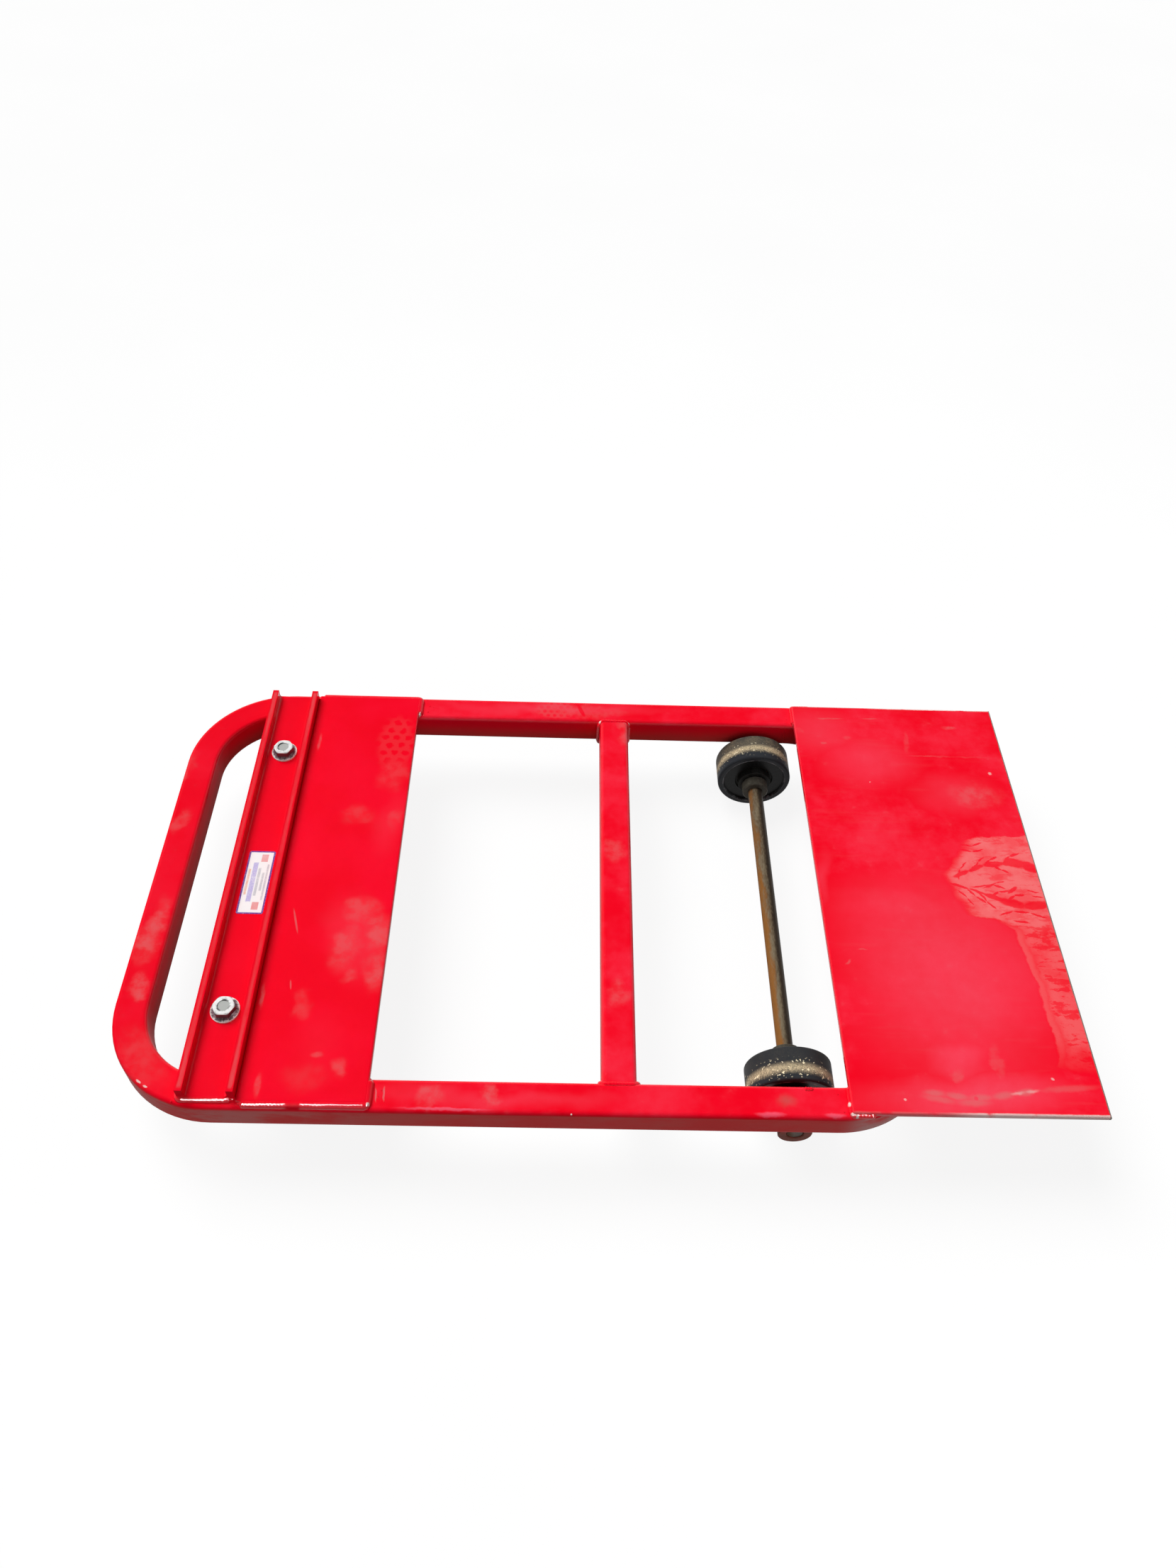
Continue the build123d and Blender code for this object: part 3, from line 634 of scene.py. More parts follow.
def tyreRubber(name, node, wear=None):
    low, high = (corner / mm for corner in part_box(node))
    middle = (low + high) / 2
    rubber = Finish(name)
    depth = high.z - middle.z - rubber.distance(rubber.x - middle.x, rubber.z - middle.z)
    fine = rubber.noise(1.5, 4.0, 0.65)
    broad = rubber.noise(12, 3.0, 0.6, seed=4.0)
    tread = rubber.ramp(depth, *rubberLook["treadIn"])
    # painted highlight: a pale broken ring on the lip, as worn rubber
    lipSheenLine = rubber.ramp(abs(depth - rubberLook["lipIn"]), 1.5, 0.4)
    colour = rubber.coats(
        rubberLook,
        rubberLook["black"],
        grey=rubber.ramp(fine, 0.35, 0.75) * 0.5,
        lip=rubber.ramp(depth, *rubberLook["rimIn"]),
        rubbed=lipSheenLine * (rubber.ramp(broad, 0.46, 0.60) * 0.5 + 0.08),
    )
    if wear:
        start, end = wear["band"]
        half = (end - start) / 2
        wave = rubber.y + (broad - 0.5) * 4.0 + (fine - 0.5) * 3.0 - (start + end) / 2
        band = rubber.ramp(abs(wave), half + 3.6, half - 3.4)
        grains = rubber.ramp(fine, 0.30, 0.64)
        dusty = grains * rubber.ramp(broad, 0.30, 0.62) * 0.75 + 0.25
        dusty = dusty * rubber.ramp(wave, half - 1.0, half + 5.0)
        flakes = rubber.ramp(rubber.noise(2.8, 1.5, 0.5, seed=7.0), 0.64, 0.66)
        flakes = flakes * rubber.ramp(abs(wave), 12.0, 4.0)
        colour = rubber.coats(
            rubberLook,
            colour,
            dust=tread * dusty * wear["dusty"],
            tan=tread * band * (grains * 0.66 + 0.30),
            gold=tread * flakes * wear["flecks"],
        )
    else:
        colour = rubber.mix(tread * rubber.ramp(fine, 0.35, 0.7) * 0.6, colour, rubberLook["dust"])
    return rubber.shade(
        Base_Color=colour,
        Roughness=tread * 0.25 + fine * 0.16 + 0.24,
        Specular_IOR_Level=0.12,
        Normal=rubber.bump(fine, 0.12, 0.4),
    )


axleLook = {
    "steel": (0.225, 0.180, 0.115),
    "dark": (0.11, 0.075, 0.045),
    "rust": (0.31, 0.115, 0.018),
    # painted shade on the side towards the nose, under the nose plate
    "grease": (0.028, 0.022, 0.017),
    # painted shade on the axle's ends inside the sleeves, under the rails
    "end": (0.085, 0.050, 0.034),
    "rusty": (-3.0, 8.5),  # towards the deck from the axle's middle
    "greasy": (-0.8, 2.8),  # painted shade, towards the nose from the axle's middle
    "near": (240, -150),
    "outside": (railIn / mm, railIn / mm + 6.0),
}


def axleSteel(name):
    steel = Finish(name)
    streak = steel.noise(6, 5.0, 0.65, (1.0, 6.0, 1.0))
    fine = steel.noise(1.6, 3.0, 0.6, (1.0, 3.0, 1.0), seed=2.0)
    noseward = steel.x - sum(corner.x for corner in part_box("axle")) / 2 / mm
    near = steel.ramp(steel.y, *axleLook["near"])
    aged = steel.ramp(streak * 0.5 + fine * 0.5 - near * 0.12, 0.28, 0.60)
    rusty = steel.ramp(0 - noseward, *axleLook["rusty"]) * (near * 0.22 + 0.20)
    rust = steel.ramp(streak * 0.55 + fine * 0.15 + rusty, 0.46, 0.70)
    # painted shade on the side towards the nose plate
    greasy = steel.ramp(noseward + (fine - 0.5) * 3.0, *axleLook["greasy"])
    # painted shade on the ends under the rails, with the metal shine taken off there too
    shadedEnds = steel.ramp(abs(steel.y), *axleLook["outside"])
    colour = steel.coats(
        axleLook,
        axleLook["steel"],
        dark=aged,
        rust=rust * 0.8,
        grease=greasy * 0.85,
        end=shadedEnds * 0.85,
    )
    return steel.shade(
        Base_Color=colour,
        Metallic=(0.25 - rust * 0.2) * (1 - shadedEnds),
        Roughness=0.46 + rust * 0.3,
        Specular_IOR_Level=0.2,
        Normal=steel.bump(fine + rust, 0.08, 0.6),
    )


boltLook = {
    "bright": (0.93, 0.93, 0.92),
    "dull": (0.62, 0.62, 0.60),
    "hollow": (0.48, 0.49, 0.47),
    # painted shade with a painted reflection of the red web, on the head's flat faces and its flange
    "side": (0.16, 0.075, 0.105),
    "mark": (0.05, 0.045, 0.05),
    "recess": 5.7,  # radius of the round recess in the head
    "top": (7.8, 8.2),  # heights on the web
    "flat": (3.7, 8.6),
    "flange": (4.2, 3.6),
    "flangeLow": (3.6, 3.0),
    "hex": (7.2, 8.2),  # distances from the bolt's middle
    "corner": (12.4, 11.2),
    "rim": (13.3, 12.4),
    "rimIn": (13.3, 11.6),
}


def boltZinc(name, node):  # plated head: bright on top, dark on its flat faces as painted shade with a painted reflection of the red web; the flange darkened alike, partly muck and partly painted reflection, with dark radial marks as painted reflections
    low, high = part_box(node)
    middle = (low + high) / 2 / mm
    zinc = Finish(name)
    dx = zinc.x - middle.x
    dy = zinc.y - middle.y
    reach = zinc.distance(dx, dy)
    rise = zinc.z - webTop / mm
    fine = zinc.noise(2.2, 4.0, 0.6)
    broad = zinc.noise(7, 3.0, 0.6, seed=3.0)
    recess = boltLook["recess"]
    top = zinc.ramp(rise, *boltLook["top"])
    ring = zinc.ramp(abs(reach - recess), 1.2, 0.3) * zinc.ramp(broad, 0.46, 0.60)
    below, above = boltLook["flat"]
    # painted shade and reflection on the head's flat faces
    shadedFlats = zinc.ramp(rise, below - 0.7, below) * zinc.ramp(rise, above + 0.7, above)
    shadedFlats = shadedFlats * zinc.ramp(reach, *boltLook["hex"])
    flange = zinc.ramp(rise, *boltLook["flange"])
    # painted reflections: dark radial marks round the flange
    around = zinc.add("ShaderNodeCombineXYZ", None, {0: zinc.reckon("ARCTAN2", dy, dx), 1: reach * 0.06})
    reflectionWedges = zinc.ramp(zinc.noise(0.34, 2.0, 0.5, place=around, seed=middle.y), 0.47, 0.56)
    reflectionWedges = reflectionWedges * flange * zinc.ramp(reach, *boltLook["rim"])
    # the flange darkened in the flat faces' colour up to near its rim: muck and painted reflection
    grime = zinc.ramp(reach + (fine - 0.5) * 2.0, *boltLook["corner"]) * flange
    streaks = zinc.ramp(fine, 0.48, 0.60) * zinc.ramp(rise, *boltLook["flangeLow"])
    streaks = streaks * zinc.ramp(reach, *boltLook["rimIn"])
    colour = zinc.coats(
        boltLook,
        boltLook["bright"],
        dull=zinc.ramp(broad * 0.5 + fine * 0.5, 0.44, 0.70),
        hollow=zinc.ramp(reach, recess + 0.3, recess - 0.3) * top,
        mark=ring * top * 0.9 | reflectionWedges * 0.8,
        side=shadedFlats | grime * 0.85,
    )
    colour = zinc.mix(streaks * 0.7, colour, boltLook["mark"])
    return zinc.shade(
        Base_Color=colour,
        Metallic=shadedFlats * 0.65 + 0.15,
        Roughness=fine * 0.16 + 0.30,
        Specular_IOR_Level=0.25,
        Normal=zinc.bump(fine, 0.02, 0.4),
    )


# Plain metals and plastic: two tones by wear, and the pieces that have them on both sides
tones = {
    "zinc": ((0.62, 0.63, 0.65), (0.84, 0.85, 0.87)),
    "collar": ((0.050, 0.045, 0.034), (0.090, 0.082, 0.064)),
    "iron": ((0.007, 0.007, 0.006), (0.026, 0.025, 0.022)),
    "black": ((0.03, 0.03, 0.032), (0.026, 0.025, 0.022)),
    "turned": ((0.62, 0.63, 0.65), (0.090, 0.082, 0.064)),
    "bronze": ((0.20, 0.12, 0.05), (0.45, 0.29, 0.12)),
}
plainFinishes = {
    "zincBright": {"tone": "zinc", "metal": 0.6, "rough": 0.10, "grain": 9.0, "depth": 0.01},
    "zincPressing": {"tone": "zinc", "metal": 1.0, "rough": 0.26, "grain": 16.0, "depth": 0.04},
    "collarDark": {"tone": "collar", "metal": 0.1, "rough": 0.50, "grain": 6.0, "depth": 0.05, "shine": 0.2},
    "hubIron": {"tone": "iron", "metal": 0.0, "rough": 0.46, "grain": 8.0, "depth": 0.10, "shine": 0.1},
    "blackOxide": {"tone": "black", "metal": 0.6, "rough": 0.36, "grain": 3.0, "depth": 0.05},
    "ballSteel": {"tone": "zinc", "metal": 1.0, "rough": 0.08, "grain": 4.0, "depth": 0.01},
    "turnedSteel": {"tone": "turned", "metal": 1.0, "rough": 0.3, "grain": 4.0, "depth": 0.04, "pinch": 0.15},
    "casterPlastic": {"tone": "black", "metal": 0.0, "rough": 0.45, "grain": 10.0, "depth": 0.08},
    "bushBronze": {"tone": "bronze", "metal": 0.9, "rough": 0.34, "grain": 2.5, "depth": 0.05},
}
plainPieces = {
    "zincBright": ["king_nut", "pivot_bolt", "pivot_nut"],
    "zincPressing": ["race_cup", "king_sleeve", "caster_fork"],
    "collarDark": ["set_collar", "thrust_washer"],
    "hubIron": ["wheel_hub"],
    "blackOxide": ["grub_screw", "axle_pin"],
    "ballSteel": ["race_balls"],
    "turnedSteel": ["pivot_spacer"],
    "casterPlastic": ["caster_hub"],
    "bushBronze": ["wheel_bush", "caster_bush"],
}


def plainFinish(name, tone, metal, rough, grain, depth, shine=0.5, pinch=1.0):
    plain = Finish(name)
    stretch = (1, pinch, 1)
    broad = plain.noise(grain, 4.0, 0.6, stretch)
    fine = plain.noise(grain * 0.22, 3.0, 0.6, stretch, seed=3.0)
    wear = plain.ramp(broad * 0.6 + fine * 0.4, 0.38, 0.66)
    return plain.shade(
        Base_Color=plain.mix(wear, *tones[tone]),
        Metallic=metal,
        Roughness=fine * 0.16 + wear * 0.08 + rough,
        Specular_IOR_Level=shine,
        Normal=plain.bump(fine, depth, 0.5),
    )


dress = dict(paints)
dress["axle"] = axleSteel("axleSteel")
for side in sides:
    dress["wheel_tyre_" + side] = tyreRubber("rubberWheel_" + side, "wheel_tyre_" + side, treadWear[side])
    dress["caster_tyre_" + side] = tyreRubber("rubberCaster_" + side, "caster_tyre_" + side)
    dress["king_bolt_" + side] = boltZinc("zincBolt_" + side, "king_bolt_" + side)
for name, look in plainFinishes.items():
    finish = plainFinish(name, **look)
    for stem in plainPieces[name]:
        for side in sides:
            dress[stem + "_" + side] = finish
for name, node in nodes.items():
    for slot in node.material_slots:
        slot.material = dress[name]
print("nodes dressed,", len(bpy.data.materials), "materials")


class Recipe(Graph):  # a geometry tree with named inputs, run on one source mesh
    def __init__(self, name, inputs):
        super().__init__(bpy.data.node_groups.new(name, "GeometryNodeTree"))
        face = self.tree.interface
        face.new_socket("Geometry", in_out="INPUT", socket_type="NodeSocketGeometry")
        face.new_socket("Geometry", in_out="OUTPUT", socket_type="NodeSocketGeometry")
        self.keys = {}
        for label, kind in inputs.items():
            socket = face.new_socket(label, in_out="INPUT", socket_type="NodeSocket" + kind)
            self.keys[label] = socket.identifier
        self.given = self.add("NodeGroupInput", out="Geometry")

    def close(self, shape):
        smooth = self.add("GeometryNodeSetShadeSmooth", None, {"Geometry": shape})
        real = self.add("GeometryNodeRealizeInstances", None, {"Geometry": smooth})
        paint = {"Geometry": real, "Material": self.given["Material"]}
        dressed = self.add("GeometryNodeSetMaterial", None, paint)
        self.add("NodeGroupOutput", None, {"Geometry": dressed})

    def make(self, name, source, **values):  # a plain mesh object with no modifier left on it
        piece = bpy.data.objects.new(name, source)
        bpy.context.scene.collection.objects.link(piece)
        work = piece.modifiers.new("recipe", "NODES")
        work.node_group = self.tree
        for label, value in values.items():
            work[self.keys[label]] = value
        graph = bpy.context.evaluated_depsgraph_get()
        made = bpy.data.meshes.new_from_object(piece.evaluated_get(graph), depsgraph=graph)
        piece.modifiers.remove(work)
        piece.data = made
        faceOutward(made)
        return piece


def faceOutward(mesh):
    work = bmesh.new()
    work.from_mesh(mesh)
    bmesh.ops.recalc_face_normals(work, faces=work.faces)
    work.to_mesh(mesh)
    work.free()


def pathMesh(name, paths):  # open lines, or closed ones where the last point is the first
    points = []
    edges = []
    for path in paths:
        closed = path[0] == path[-1]
        start = len(points)
        points += path[:-1] if closed else path
        edges += [(k, k + 1) for k in range(start, len(points) - 1)]
        if closed:
            edges.append((len(points) - 1, start))
    mesh = bpy.data.meshes.new(name)
    mesh.from_pydata(points, edges, [])
    return mesh


# Weld beads: a round bead swept along its seam, rippled, uneven and drawn in at its ends
beadLook = {
    "cornerSteps": 6,
    "pointsPerRipple": 4,
    "unevenScale": 42.0,
    "jitter": 5.0,  # of the ripples along the seam
    "endShare": 0.35,  # of the radius, left at an end
    "sides": 12,
}
beadInputs = dict.fromkeys(["Radius", "Pitch", "Ripple", "Wobble", "Bend", "Seed"], "Float")
bead = Recipe("weldBead", {**beadInputs, "Material": "Material"})
radius = bead.given["Radius"]
pitch = bead.given["Pitch"]
seam = bead.add("GeometryNodeMeshToCurve", None, {"Mesh": bead.given})
bent = {"Curve": seam, "Count": beadLook["cornerSteps"], "Radius": bead.given["Bend"], "Limit Radius": True}
seam = bead.add("GeometryNodeFilletCurve", {"mode": "POLY"}, bent)
step = pitch / beadLook["pointsPerRipple"]
seam = bead.add("GeometryNodeResampleCurve", {"mode": "LENGTH"}, {"Curve": seam, "Length": step})
along = bead.add("GeometryNodeSplineParameter", out="Length")
total = bead.add("GeometryNodeSplineLength", out="Length")
spot = bead.add("GeometryNodeInputPosition")
noiseAt = {"Vector": spot, "W": bead.given["Seed"], "Scale": beadLook["unevenScale"], "Detail": 1.0}
uneven = bead.add("ShaderNodeTexNoise", {"noise_dimensions": "4D"}, noiseAt)
beat = bead.reckon("SINE", along / pitch * math.tau + uneven * beadLook["jitter"])
drawnIn = {"Value": along & total - along, "From Max": radius, "To Min": beadLook["endShare"]}
taper = bead.add("ShaderNodeMapRange", {"interpolation_type": "SMOOTHSTEP"}, drawnIn)
taper = taper | bead.add("GeometryNodeInputSplineCyclic")
swell = beat * bead.given["Ripple"] + (uneven - 0.5) * bead.given["Wobble"] + 1.0
circle = {"Resolution": beadLook["sides"], "Radius": 1.0}
profile = bead.add("GeometryNodeCurvePrimitiveCircle", {"mode": "RADIUS"}, circle)
body = {"Curve": seam, "Profile Curve": profile, "Scale": swell * taper * radius, "Fill Caps": True}
bead.close(bead.add("GeometryNodeCurveToMesh", None, body))

seamAt = {  # bead's middle, measured from the edges that it follows
    "lift": 0.1 * mm,  # above the tube
    "gap": -0.5 * mm,  # off a plate's edge, under the plate where below zero
    "plateIn": 1.2 * mm,
    "plateEnd": 2.0 * mm,
    "noseRun": 22.0 * mm,
    "under": {"drop": 1.8 * mm, "in": 0.7 * mm, "from": 14.0, "steps": 14},
    "bar": {"off": 1.0 * mm, "groove": 1.6 * mm, "drop": 1.7 * mm, "corner": 3.5 * mm},
    "joint": {"out": 1.4 * mm, "in": 0.8 * mm, "drop": 4.0 * mm},
    "sleeve": {"drop": 1.0 * mm, "in": 1.0 * mm, "end": 1.2 * mm, "half": 8.4 * mm},
}


def beadSize(radius, pitch, ripple, wobble, bend):
    return {"Radius": radius * mm, "Pitch": pitch * mm, "Ripple": ripple, "Wobble": wobble, "Bend": bend * mm}


# From the rail's inner edge along the plate's edge, round its corner and along its end
def plateSeam(side, xEdge, xEnd, yEnd):
    inner = side * (railIn + seamAt["plateIn"])
    outer = side * (yEnd + seamAt["gap"])
    z = railTop + seamAt["lift"]
    return [(xEdge, inner, z), (xEdge, outer, z), (xEnd, outer, z)]


def underSeam():  # along the nose-end bow, under the plate's overhang
    at = seamAt["under"]
    z = railTop - at["drop"]
    reach = bendOut - at["in"]
    arc = []
    for k in range(at["steps"] + 1):
        turn = math.radians(at["from"] + (90 - at["from"]) * k / at["steps"])
        x = bowHigh.x - bendOut + reach * math.sin(turn)
        y = railOut - bendOut + reach * math.cos(turn)
        arc.append((x, y, z))
    return arc + [(x, -y, z) for x, y, z in reversed(arc)]


def barSeam(side):  # round the cross bar's end: in the corners at its sides and bottom, in the groove on top
    at = seamAt["bar"]
    y = side * (barHigh.y - at["off"])
    yTop = side * (barHigh.y + at["groove"])
    left = barLow.x - at["off"]
    right = barHigh.x + at["off"]
    low = barLow.z - at["off"]
    high = railTop - at["drop"]
    corner = at["corner"]
    ring = [(left, y, high - corner), (left, y, low), (right, y, low), (right, y, high - corner)]
    ring += [(right - corner, yTop, high), (left + corner, yTop, high)]
    return ring + ring[:1]


def jointSeam(side):  # round the butt joint of the two bows, ground flush on top
    at = seamAt["joint"]
    outer = side * (railOut - at["out"])
    inner = side * (railIn + at["in"])
    high = railTop - at["drop"]
    low = railLow + at["in"]
    return [(bowLow.x, y, z) for y, z in ((outer, high), (outer, low), (inner, low), (inner, high))]


def sleeveSeams(side):  # both sides of the sleeve under the rail
    at = seamAt["sleeve"]
    xMid = (sleeveLow.x + sleeveHigh.x) / 2
    ends = (side * (railIn + at["in"]), side * (sleeveHigh.y - at["end"]))
    return [[(xMid + dx, y, railLow - at["drop"]) for y in ends] for dx in (-at["half"], at["half"])]


def lumps():  # blobs of weld left on the near rail, on its inner and its outer top edge
    inner = -railIn - 3.2 * mm
    outer = -railOut + 1.2 * mm
    high = railTop - 0.4 * mm
    low = railTop - 1.9 * mm
    return [
        [(180.6 * mm, inner, high), (185.3 * mm, inner - 0.4 * mm, high), (189.8 * mm, inner, high)],
        [(-28.0 * mm, outer, low), (-26.6 * mm, outer, low)],
    ]


def bothSides(seam, *places):  # the same seam on the near and on the far side
    return [seam(side, *places) for side in sides.values()]


deckEnds = (deckHigh.x + seamAt["gap"], deckLow.x + seamAt["plateEnd"], deckHigh.y)
channelEnds = (channelLow.x - seamAt["gap"], channelHigh.x - seamAt["plateEnd"], channelHigh.y)
noseEnds = (noseLow.x - seamAt["gap"], noseLow.x + seamAt["noseRun"], noseHigh.y)
welds = {  # seams, bead and paint
    "deck_welds": (bothSides(plateSeam, *deckEnds), beadSize(4.65, 3.0, 0.004, 0.10, 2.5), weldPaint),
    "channel_welds": (bothSides(plateSeam, *channelEnds), beadSize(4.7, 3.4, 0.004, 0.22, 3.0), weldPaint),
    "nose_welds": (bothSides(plateSeam, *noseEnds), beadSize(3.2, 3.0, 0.02, 0.20, 2.5), weldPaint),
    "under_welds": ([underSeam()], beadSize(2.5, 3.0, 0.05, 0.5, 2.5), tubePaint),
    "bar_welds": (bothSides(barSeam), beadSize(2.6, 3.2, 0.05, 0.4, 4.0), weldPaint),
    "joint_welds": (bothSides(jointSeam), beadSize(1.05, 3.0, 0.08, 0.4, 4.5), tubePaint),
    "sleeve_welds": (sum(bothSides(sleeveSeams), []), beadSize(2.6, 3.2, 0.05, 0.4, 4.0), sleevePaint),
    "weld_lumps": (lumps(), beadSize(1.9, 2.4, 0.12, 0.6, 1.0), weldPaint),
}
for seed, (name, (seams, sizes, paint)) in enumerate(welds.items()):
    piece = bead.make(name, pathMesh(name, seams), Seed=float(seed), Material=paint, **sizes)
    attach(piece, "frame")
    print(name, len(piece.data.polygons), "faces")

# Weld spatter: small painted beads thrown on the rails beside the seams
spatterLook = {
    "perSquareMetre": 9000.0,
    "small": 0.25 * mm,
    "large": 0.75 * mm,
    "seed": 7,
    "strips": [  # where a strip starts along x, and how far it reaches
        (deckHigh.x + 3 * mm, 14 * mm),
        (noseLow.x - 3 * mm, -14 * mm),
        (channelLow.x - 4 * mm, -8.4 * mm),
    ],
    "across": (railIn + 5 * mm, railOut - 6 * mm),
}
spatterInputs = dict.fromkeys(["Density", "Small", "Large"], "Float")
spatter = Recipe("weldSpatter", {**spatterInputs, "Seed": "Int", "Material": "Material"})
scatter = {"Mesh": spatter.given, "Density": spatter.given["Density"], "Seed": spatter.given["Seed"]}
drops = spatter.add("GeometryNodeDistributePointsOnFaces", {"distribute_method": "RANDOM"}, scatter)
grain = spatter.add("GeometryNodeMeshIcoSphere", None, {"Radius": 1.0, "Subdivisions": 2})
spread = {2: spatter.given["Small"], 3: spatter.given["Large"], "Seed": spatter.given["Seed"]}
sizeOf = spatter.add("FunctionNodeRandomValue", {"data_type": "FLOAT"}, spread, out=1)
placed = {"Points": drops, "Instance": grain, "Scale": sizeOf}
spatter.close(spatter.add("GeometryNodeInstanceOnPoints", None, placed))


def spatterGround():  # flat strips on top of the rails, one beside each plate's seam
    points = []
    faces = []
    for side in sides.values():
        inner, outer = (side * y for y in spatterLook["across"])
        for x, reach in spatterLook["strips"]:
            first = len(points)
            corners = [(x, inner), (x + reach, inner), (x + reach, outer), (x, outer)]
            points += [(*corner, railTop) for corner in corners]
            faces.append(tuple(range(first, first + 4)))
    mesh = bpy.data.meshes.new("spatterGround")
    mesh.from_pydata(points, [], faces)
    return mesh


piece = spatter.make(
    "weld_spatter",
    spatterGround(),
    Density=spatterLook["perSquareMetre"],
    Small=spatterLook["small"],
    Large=spatterLook["large"],
    Seed=spatterLook["seed"],
    Material=weldPaint,
)
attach(piece, "frame")
print("weld_spatter", len(piece.data.polygons), "faces")

# Sticker on the channel's web: white vinyl with a thin border and plain stripes
sticker = {
    "x": -345.75,
    "y": -14.5,
    "halfX": 13.2,
    "halfY": 38.5,
    "corner": 2.2,
    "thick": 0.12,
    "border": 1.7,
    "white": (0.97, 0.96, 0.96),
    "soiled": (0.70, 0.66, 0.66),
    "line": (0.16, 0.07, 0.36),
    "stripes": [  # across from the middle, width, half length, colour
        (-9.0, 2.2, 16.0, (0.84, 0.42, 0.25)),
        (-4.0, 4.8, 24.0, (0.42, 0.36, 0.76)),
        (0.9, 2.6, 17.0, (0.50, 0.50, 0.55)),
        (5.2, 2.3, 11.0, (0.50, 0.50, 0.55)),
        (8.6, 2.0, 22.0, (0.50, 0.50, 0.55)),
    ],
    "squares": [(3.8, -29.0), (3.6, 29.6)],  # plain tinted squares towards the ends
    "squareHalf": (3.3, 4.6),
    "squareTint": (0.80, 0.10, 0.10),
}


def stickerVinyl(name):
    vinyl = Finish(name)
    dx = vinyl.x - sticker["x"]
    dy = vinyl.y - sticker["y"]
    fine = vinyl.noise(1.1, 3.0, 0.6)
    soft = vinyl.noise(9, 3.0, 0.6, seed=2.0)
    colour = vinyl.mix(soft * 0.12, sticker["white"], sticker["soiled"])
    worn = vinyl.ramp(fine + soft * 0.4, 0.40, 0.80) * 0.5 + 0.26
    for offset, width, half, tint in sticker["stripes"]:
        band = vinyl.within(dx - offset, width / 2, 0.4)
        ends = vinyl.within(abs(dy) + (soft - 0.5) * 3, half, 0.5)
        colour = vinyl.mix(band * ends * worn, colour, tint)
    halfX, halfY = sticker["squareHalf"]
    for x, y in sticker["squares"]:
        inside = vinyl.within(dx - x, halfX, 0.3) * vinyl.within(dy - y, halfY, 0.3)
        colour = vinyl.mix(inside * (soft * 0.5 + 0.4), colour, sticker["squareTint"])
    edgeX = abs(dx) - (sticker["halfX"] - sticker["border"])
    edgeY = abs(dy) - (sticker["halfY"] - sticker["border"])
    line = vinyl.ramp(edgeX | edgeY, -0.2, 0.2) * (vinyl.ramp(fine, 0.30, 0.46) * 0.5 + 0.5)
    colour = vinyl.mix(line, colour, sticker["line"])
    return vinyl.shade(Base_Color=colour, Roughness=fine * 0.1 + 0.30, Normal=vinyl.bump(fine, 0.02, 0.4))


def roundedPlate(name, x, y, z, halfX, halfY, corner, thick):
    steps = 6
    outline = []
    for quarter, (sx, sy) in enumerate(((1, 1), (-1, 1), (-1, -1), (1, -1))):
        for k in range(steps + 1):
            turn = math.pi / 2 * (quarter + k / steps)
            px = x + sx * (halfX - corner) + corner * math.cos(turn)
            py = y + sy * (halfY - corner) + corner * math.sin(turn)
            outline.append((px, py))
    work = bmesh.new()
    base = work.faces.new([work.verts.new((px, py, z)) for px, py in outline])
    grown = bmesh.ops.extrude_face_region(work, geom=[base])
    for part in grown["geom"]:
        if isinstance(part, bmesh.types.BMVert):
            part.co.z += thick
    bmesh.ops.recalc_face_normals(work, faces=work.faces)
    mesh = bpy.data.meshes.new(name)
    work.to_mesh(mesh)
    work.free()
    piece = bpy.data.objects.new(name, mesh)
    bpy.context.scene.collection.objects.link(piece)
    return piece


plateSizes = [sticker[key] * mm for key in ("halfX", "halfY", "corner", "thick")]
piece = roundedPlate("sticker", sticker["x"] * mm, sticker["y"] * mm, webTop, *plateSizes)
piece.data.materials.append(stickerVinyl("stickerVinyl"))
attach(piece, "frame")
print("sticker placed")

# Camera at the photograph's viewing angle
view = {
    "sensor": 36,
    "focal": 1661,  # in pixels of the photograph
    "tall": 2212,  # the photograph's height in pixels
    "place": (-41.267 * mm, -705.25 * mm, 1062.19 * mm),
    "pitch": 0.8622364,
    "yaw": 0.0327396,
    "roll": 0.0475115,
}
camera = bpy.data.objects.new("camera", bpy.data.cameras.new("camera"))
bpy.context.scene.collection.objects.link(camera)
camera.data.sensor_width = view["sensor"]
camera.data.lens = view["sensor"] * view["focal"] / view["tall"]
camera.matrix_world = (
    Matrix.Translation(view["place"])
    @ Matrix.Rotation(-view["yaw"], 4, "Z")
    @ Matrix.Rotation(math.pi / 2 - view["pitch"], 4, "X")
    @ Matrix.Rotation(view["roll"], 4, "Z")
)
bpy.context.scene.camera = camera

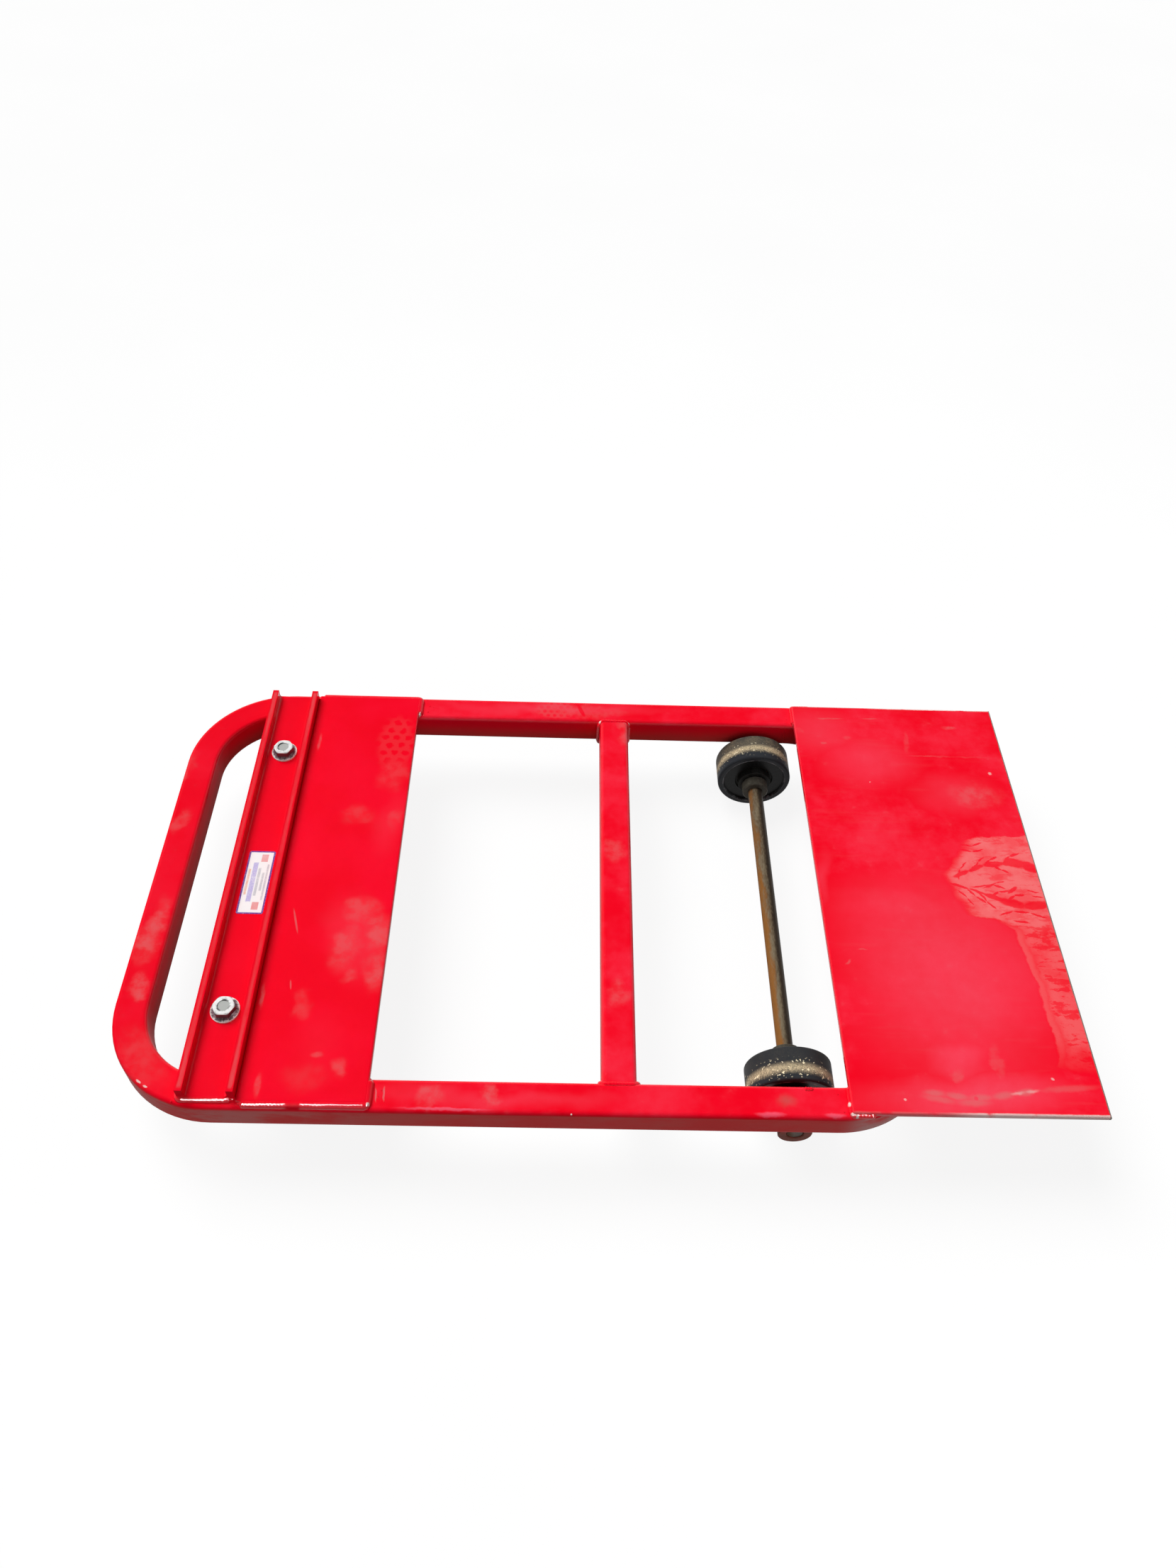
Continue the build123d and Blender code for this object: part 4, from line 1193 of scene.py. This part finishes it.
# Studio: pale floor, a broad soft lamp overhead, and panels that show only as highlights along the beads
studio = {
    "floorHalf": 8.0,
    "floorGlow": 0.90,
    "floorWhite": 0.12,
    "floorBounce": 0.10,
    "floorTints": ((0.97, 0.97, 0.97), (1.0, 1.0, 1.0)),
    "whiteOut": (700.0, 1700.0),  # from the middle, in mm
    "skyLevel": 0.13,
    "skyDark": 0.08,
    "skyFade": (0.35, 0.72),
    "soft": {  # broad lamps that leave no reflection
        "overhead": {"from": (-0.42, 0.44, 0.79), "angle": 40.0, "power": 3.15},
        "front": {"from": (0.30, -0.88, 0.36), "angle": 60.0, "power": 0.57},
    },
    "panels": {
        "frontLeft": {
            "place": (-0.72, -1.34, 1.26),
            "aim": (-0.288, 0, 0.1),
            "size": (0.24, 1.90),
            "power": 92.0,
        },
        "frontRight": {
            "place": (1.03, -1.34, 1.26),
            "aim": (0.412, 0, 0.1),
            "size": (0.36, 1.90),
            "power": 138.0,
        },
        "right": {
            "place": (0.84, -0.20, 1.63),
            "aim": (0.336, 0, 0.1),
            "size": (0.30, 0.30),
            "power": 14.0,
        },
    },
    "beads": ["deck_welds", "channel_welds", "nose_welds"],
    "metal": ["king_bolt", "set_collar", "wheel_tyre", "wheel_hub"],  # lit by the right panel too
}


def seenDirectly(graph):  # 1 for what the camera, a reflection or clear glass shows, 0 for light that bounces
    path = graph.add("ShaderNodeLightPath", out="Is Camera Ray")
    return path | path["Is Glossy Ray"] | path["Is Transmission Ray"]


def floorFinish(name):
    cloth = Finish(name)
    tint = cloth.mix(cloth.noise(420, 4.0, 0.5), *studio["floorTints"])
    away = cloth.ramp(cloth.distance(cloth.x, cloth.y), *studio["whiteOut"])
    shown = cloth.mix(away, [studio["floorWhite"]] * 3, (0, 0, 0))
    lit = cloth.mix(seenDirectly(cloth), [studio["floorBounce"]] * 3, shown)
    matte = cloth.add("ShaderNodeBsdfDiffuse", None, {"Color": lit})
    level = away * (1 - studio["floorGlow"]) + studio["floorGlow"]
    glow = cloth.add("ShaderNodeEmission", None, {"Color": tint, "Strength": level})
    none = cloth.add("ShaderNodeEmission", None, {"Strength": 0.0})
    glow = cloth.add("ShaderNodeMixShader", None, {0: seenDirectly(cloth), 1: none, 2: glow})
    surface = cloth.add("ShaderNodeAddShader", None, {0: matte, 1: glow})
    cloth.add("ShaderNodeOutputMaterial", None, {"Surface": surface})
    return cloth.material


reach = studio["floorHalf"]
corners = [(-reach, -reach, 0), (reach, -reach, 0), (reach, reach, 0), (-reach, reach, 0)]
floorMesh = bpy.data.meshes.new("studioFloor")
floorMesh.from_pydata(corners, [], [(0, 1, 2, 3)])
floorMesh.materials.append(floorFinish("studioFloor"))
floor = bpy.data.objects.new("studioFloor", floorMesh)
bpy.context.scene.collection.objects.link(floor)


def hangLamp(name, kind, place, aim, power):
    light = bpy.data.lights.new(name, kind)
    light.energy = power
    holder = bpy.data.objects.new(name, light)
    bpy.context.scene.collection.objects.link(holder)
    turn = (Vector(aim) - Vector(place)).to_track_quat("-Z", "Y")
    holder.matrix_world = Matrix.Translation(place) @ turn.to_matrix().to_4x4()
    return holder


for name, lamp in studio["soft"].items():
    holder = hangLamp(name, "SUN", lamp["from"], (0, 0, 0), lamp["power"])
    holder.data.angle = math.radians(lamp["angle"])
    holder.visible_glossy = False
beads = bpy.data.collections.new("beadsLit")
small = bpy.data.collections.new("smallLit")
for name in studio["beads"]:
    beads.objects.link(bpy.data.objects[name])
    small.objects.link(bpy.data.objects[name])
for stem in studio["metal"]:
    for side in sides:
        small.objects.link(nodes[stem + "_" + side])
for name, panel in studio["panels"].items():
    holder = hangLamp(name, "AREA", panel["place"], panel["aim"], panel["power"])
    holder.data.shape = "RECTANGLE"
    holder.data.size, holder.data.size_y = panel["size"]
    holder.visible_diffuse = False
    holder.light_linking.receiver_collection = small if name == "right" else beads

# Sky: white near the horizon and darker overhead where it shows, an even low level as light
world = bpy.data.worlds.new("studioSky")
world.use_nodes = True
bpy.context.scene.world = world
sky = Graph(world.node_tree)
sky.tree.nodes.clear()
ray = sky.add("ShaderNodeTexCoord", out="Generated")
rise = sky.add("ShaderNodeSeparateXYZ", None, {0: ray}, out="Z")
low, high = studio["skyFade"]
fade = {"Value": rise, "From Min": low, "From Max": high, "To Min": 1.0, "To Max": studio["skyDark"]}
shown = sky.add("ShaderNodeMapRange", {"interpolation_type": "SMOOTHSTEP"}, fade)
direct = seenDirectly(sky)
level = shown * direct + (1 - direct) * studio["skyLevel"]
backdrop = sky.add("ShaderNodeBackground", None, {"Color": (1, 1, 1), "Strength": level})
sky.add("ShaderNodeOutputWorld", None, {"Surface": backdrop})

bpy.context.scene.view_settings.view_transform = "Standard"
print("studio ready")
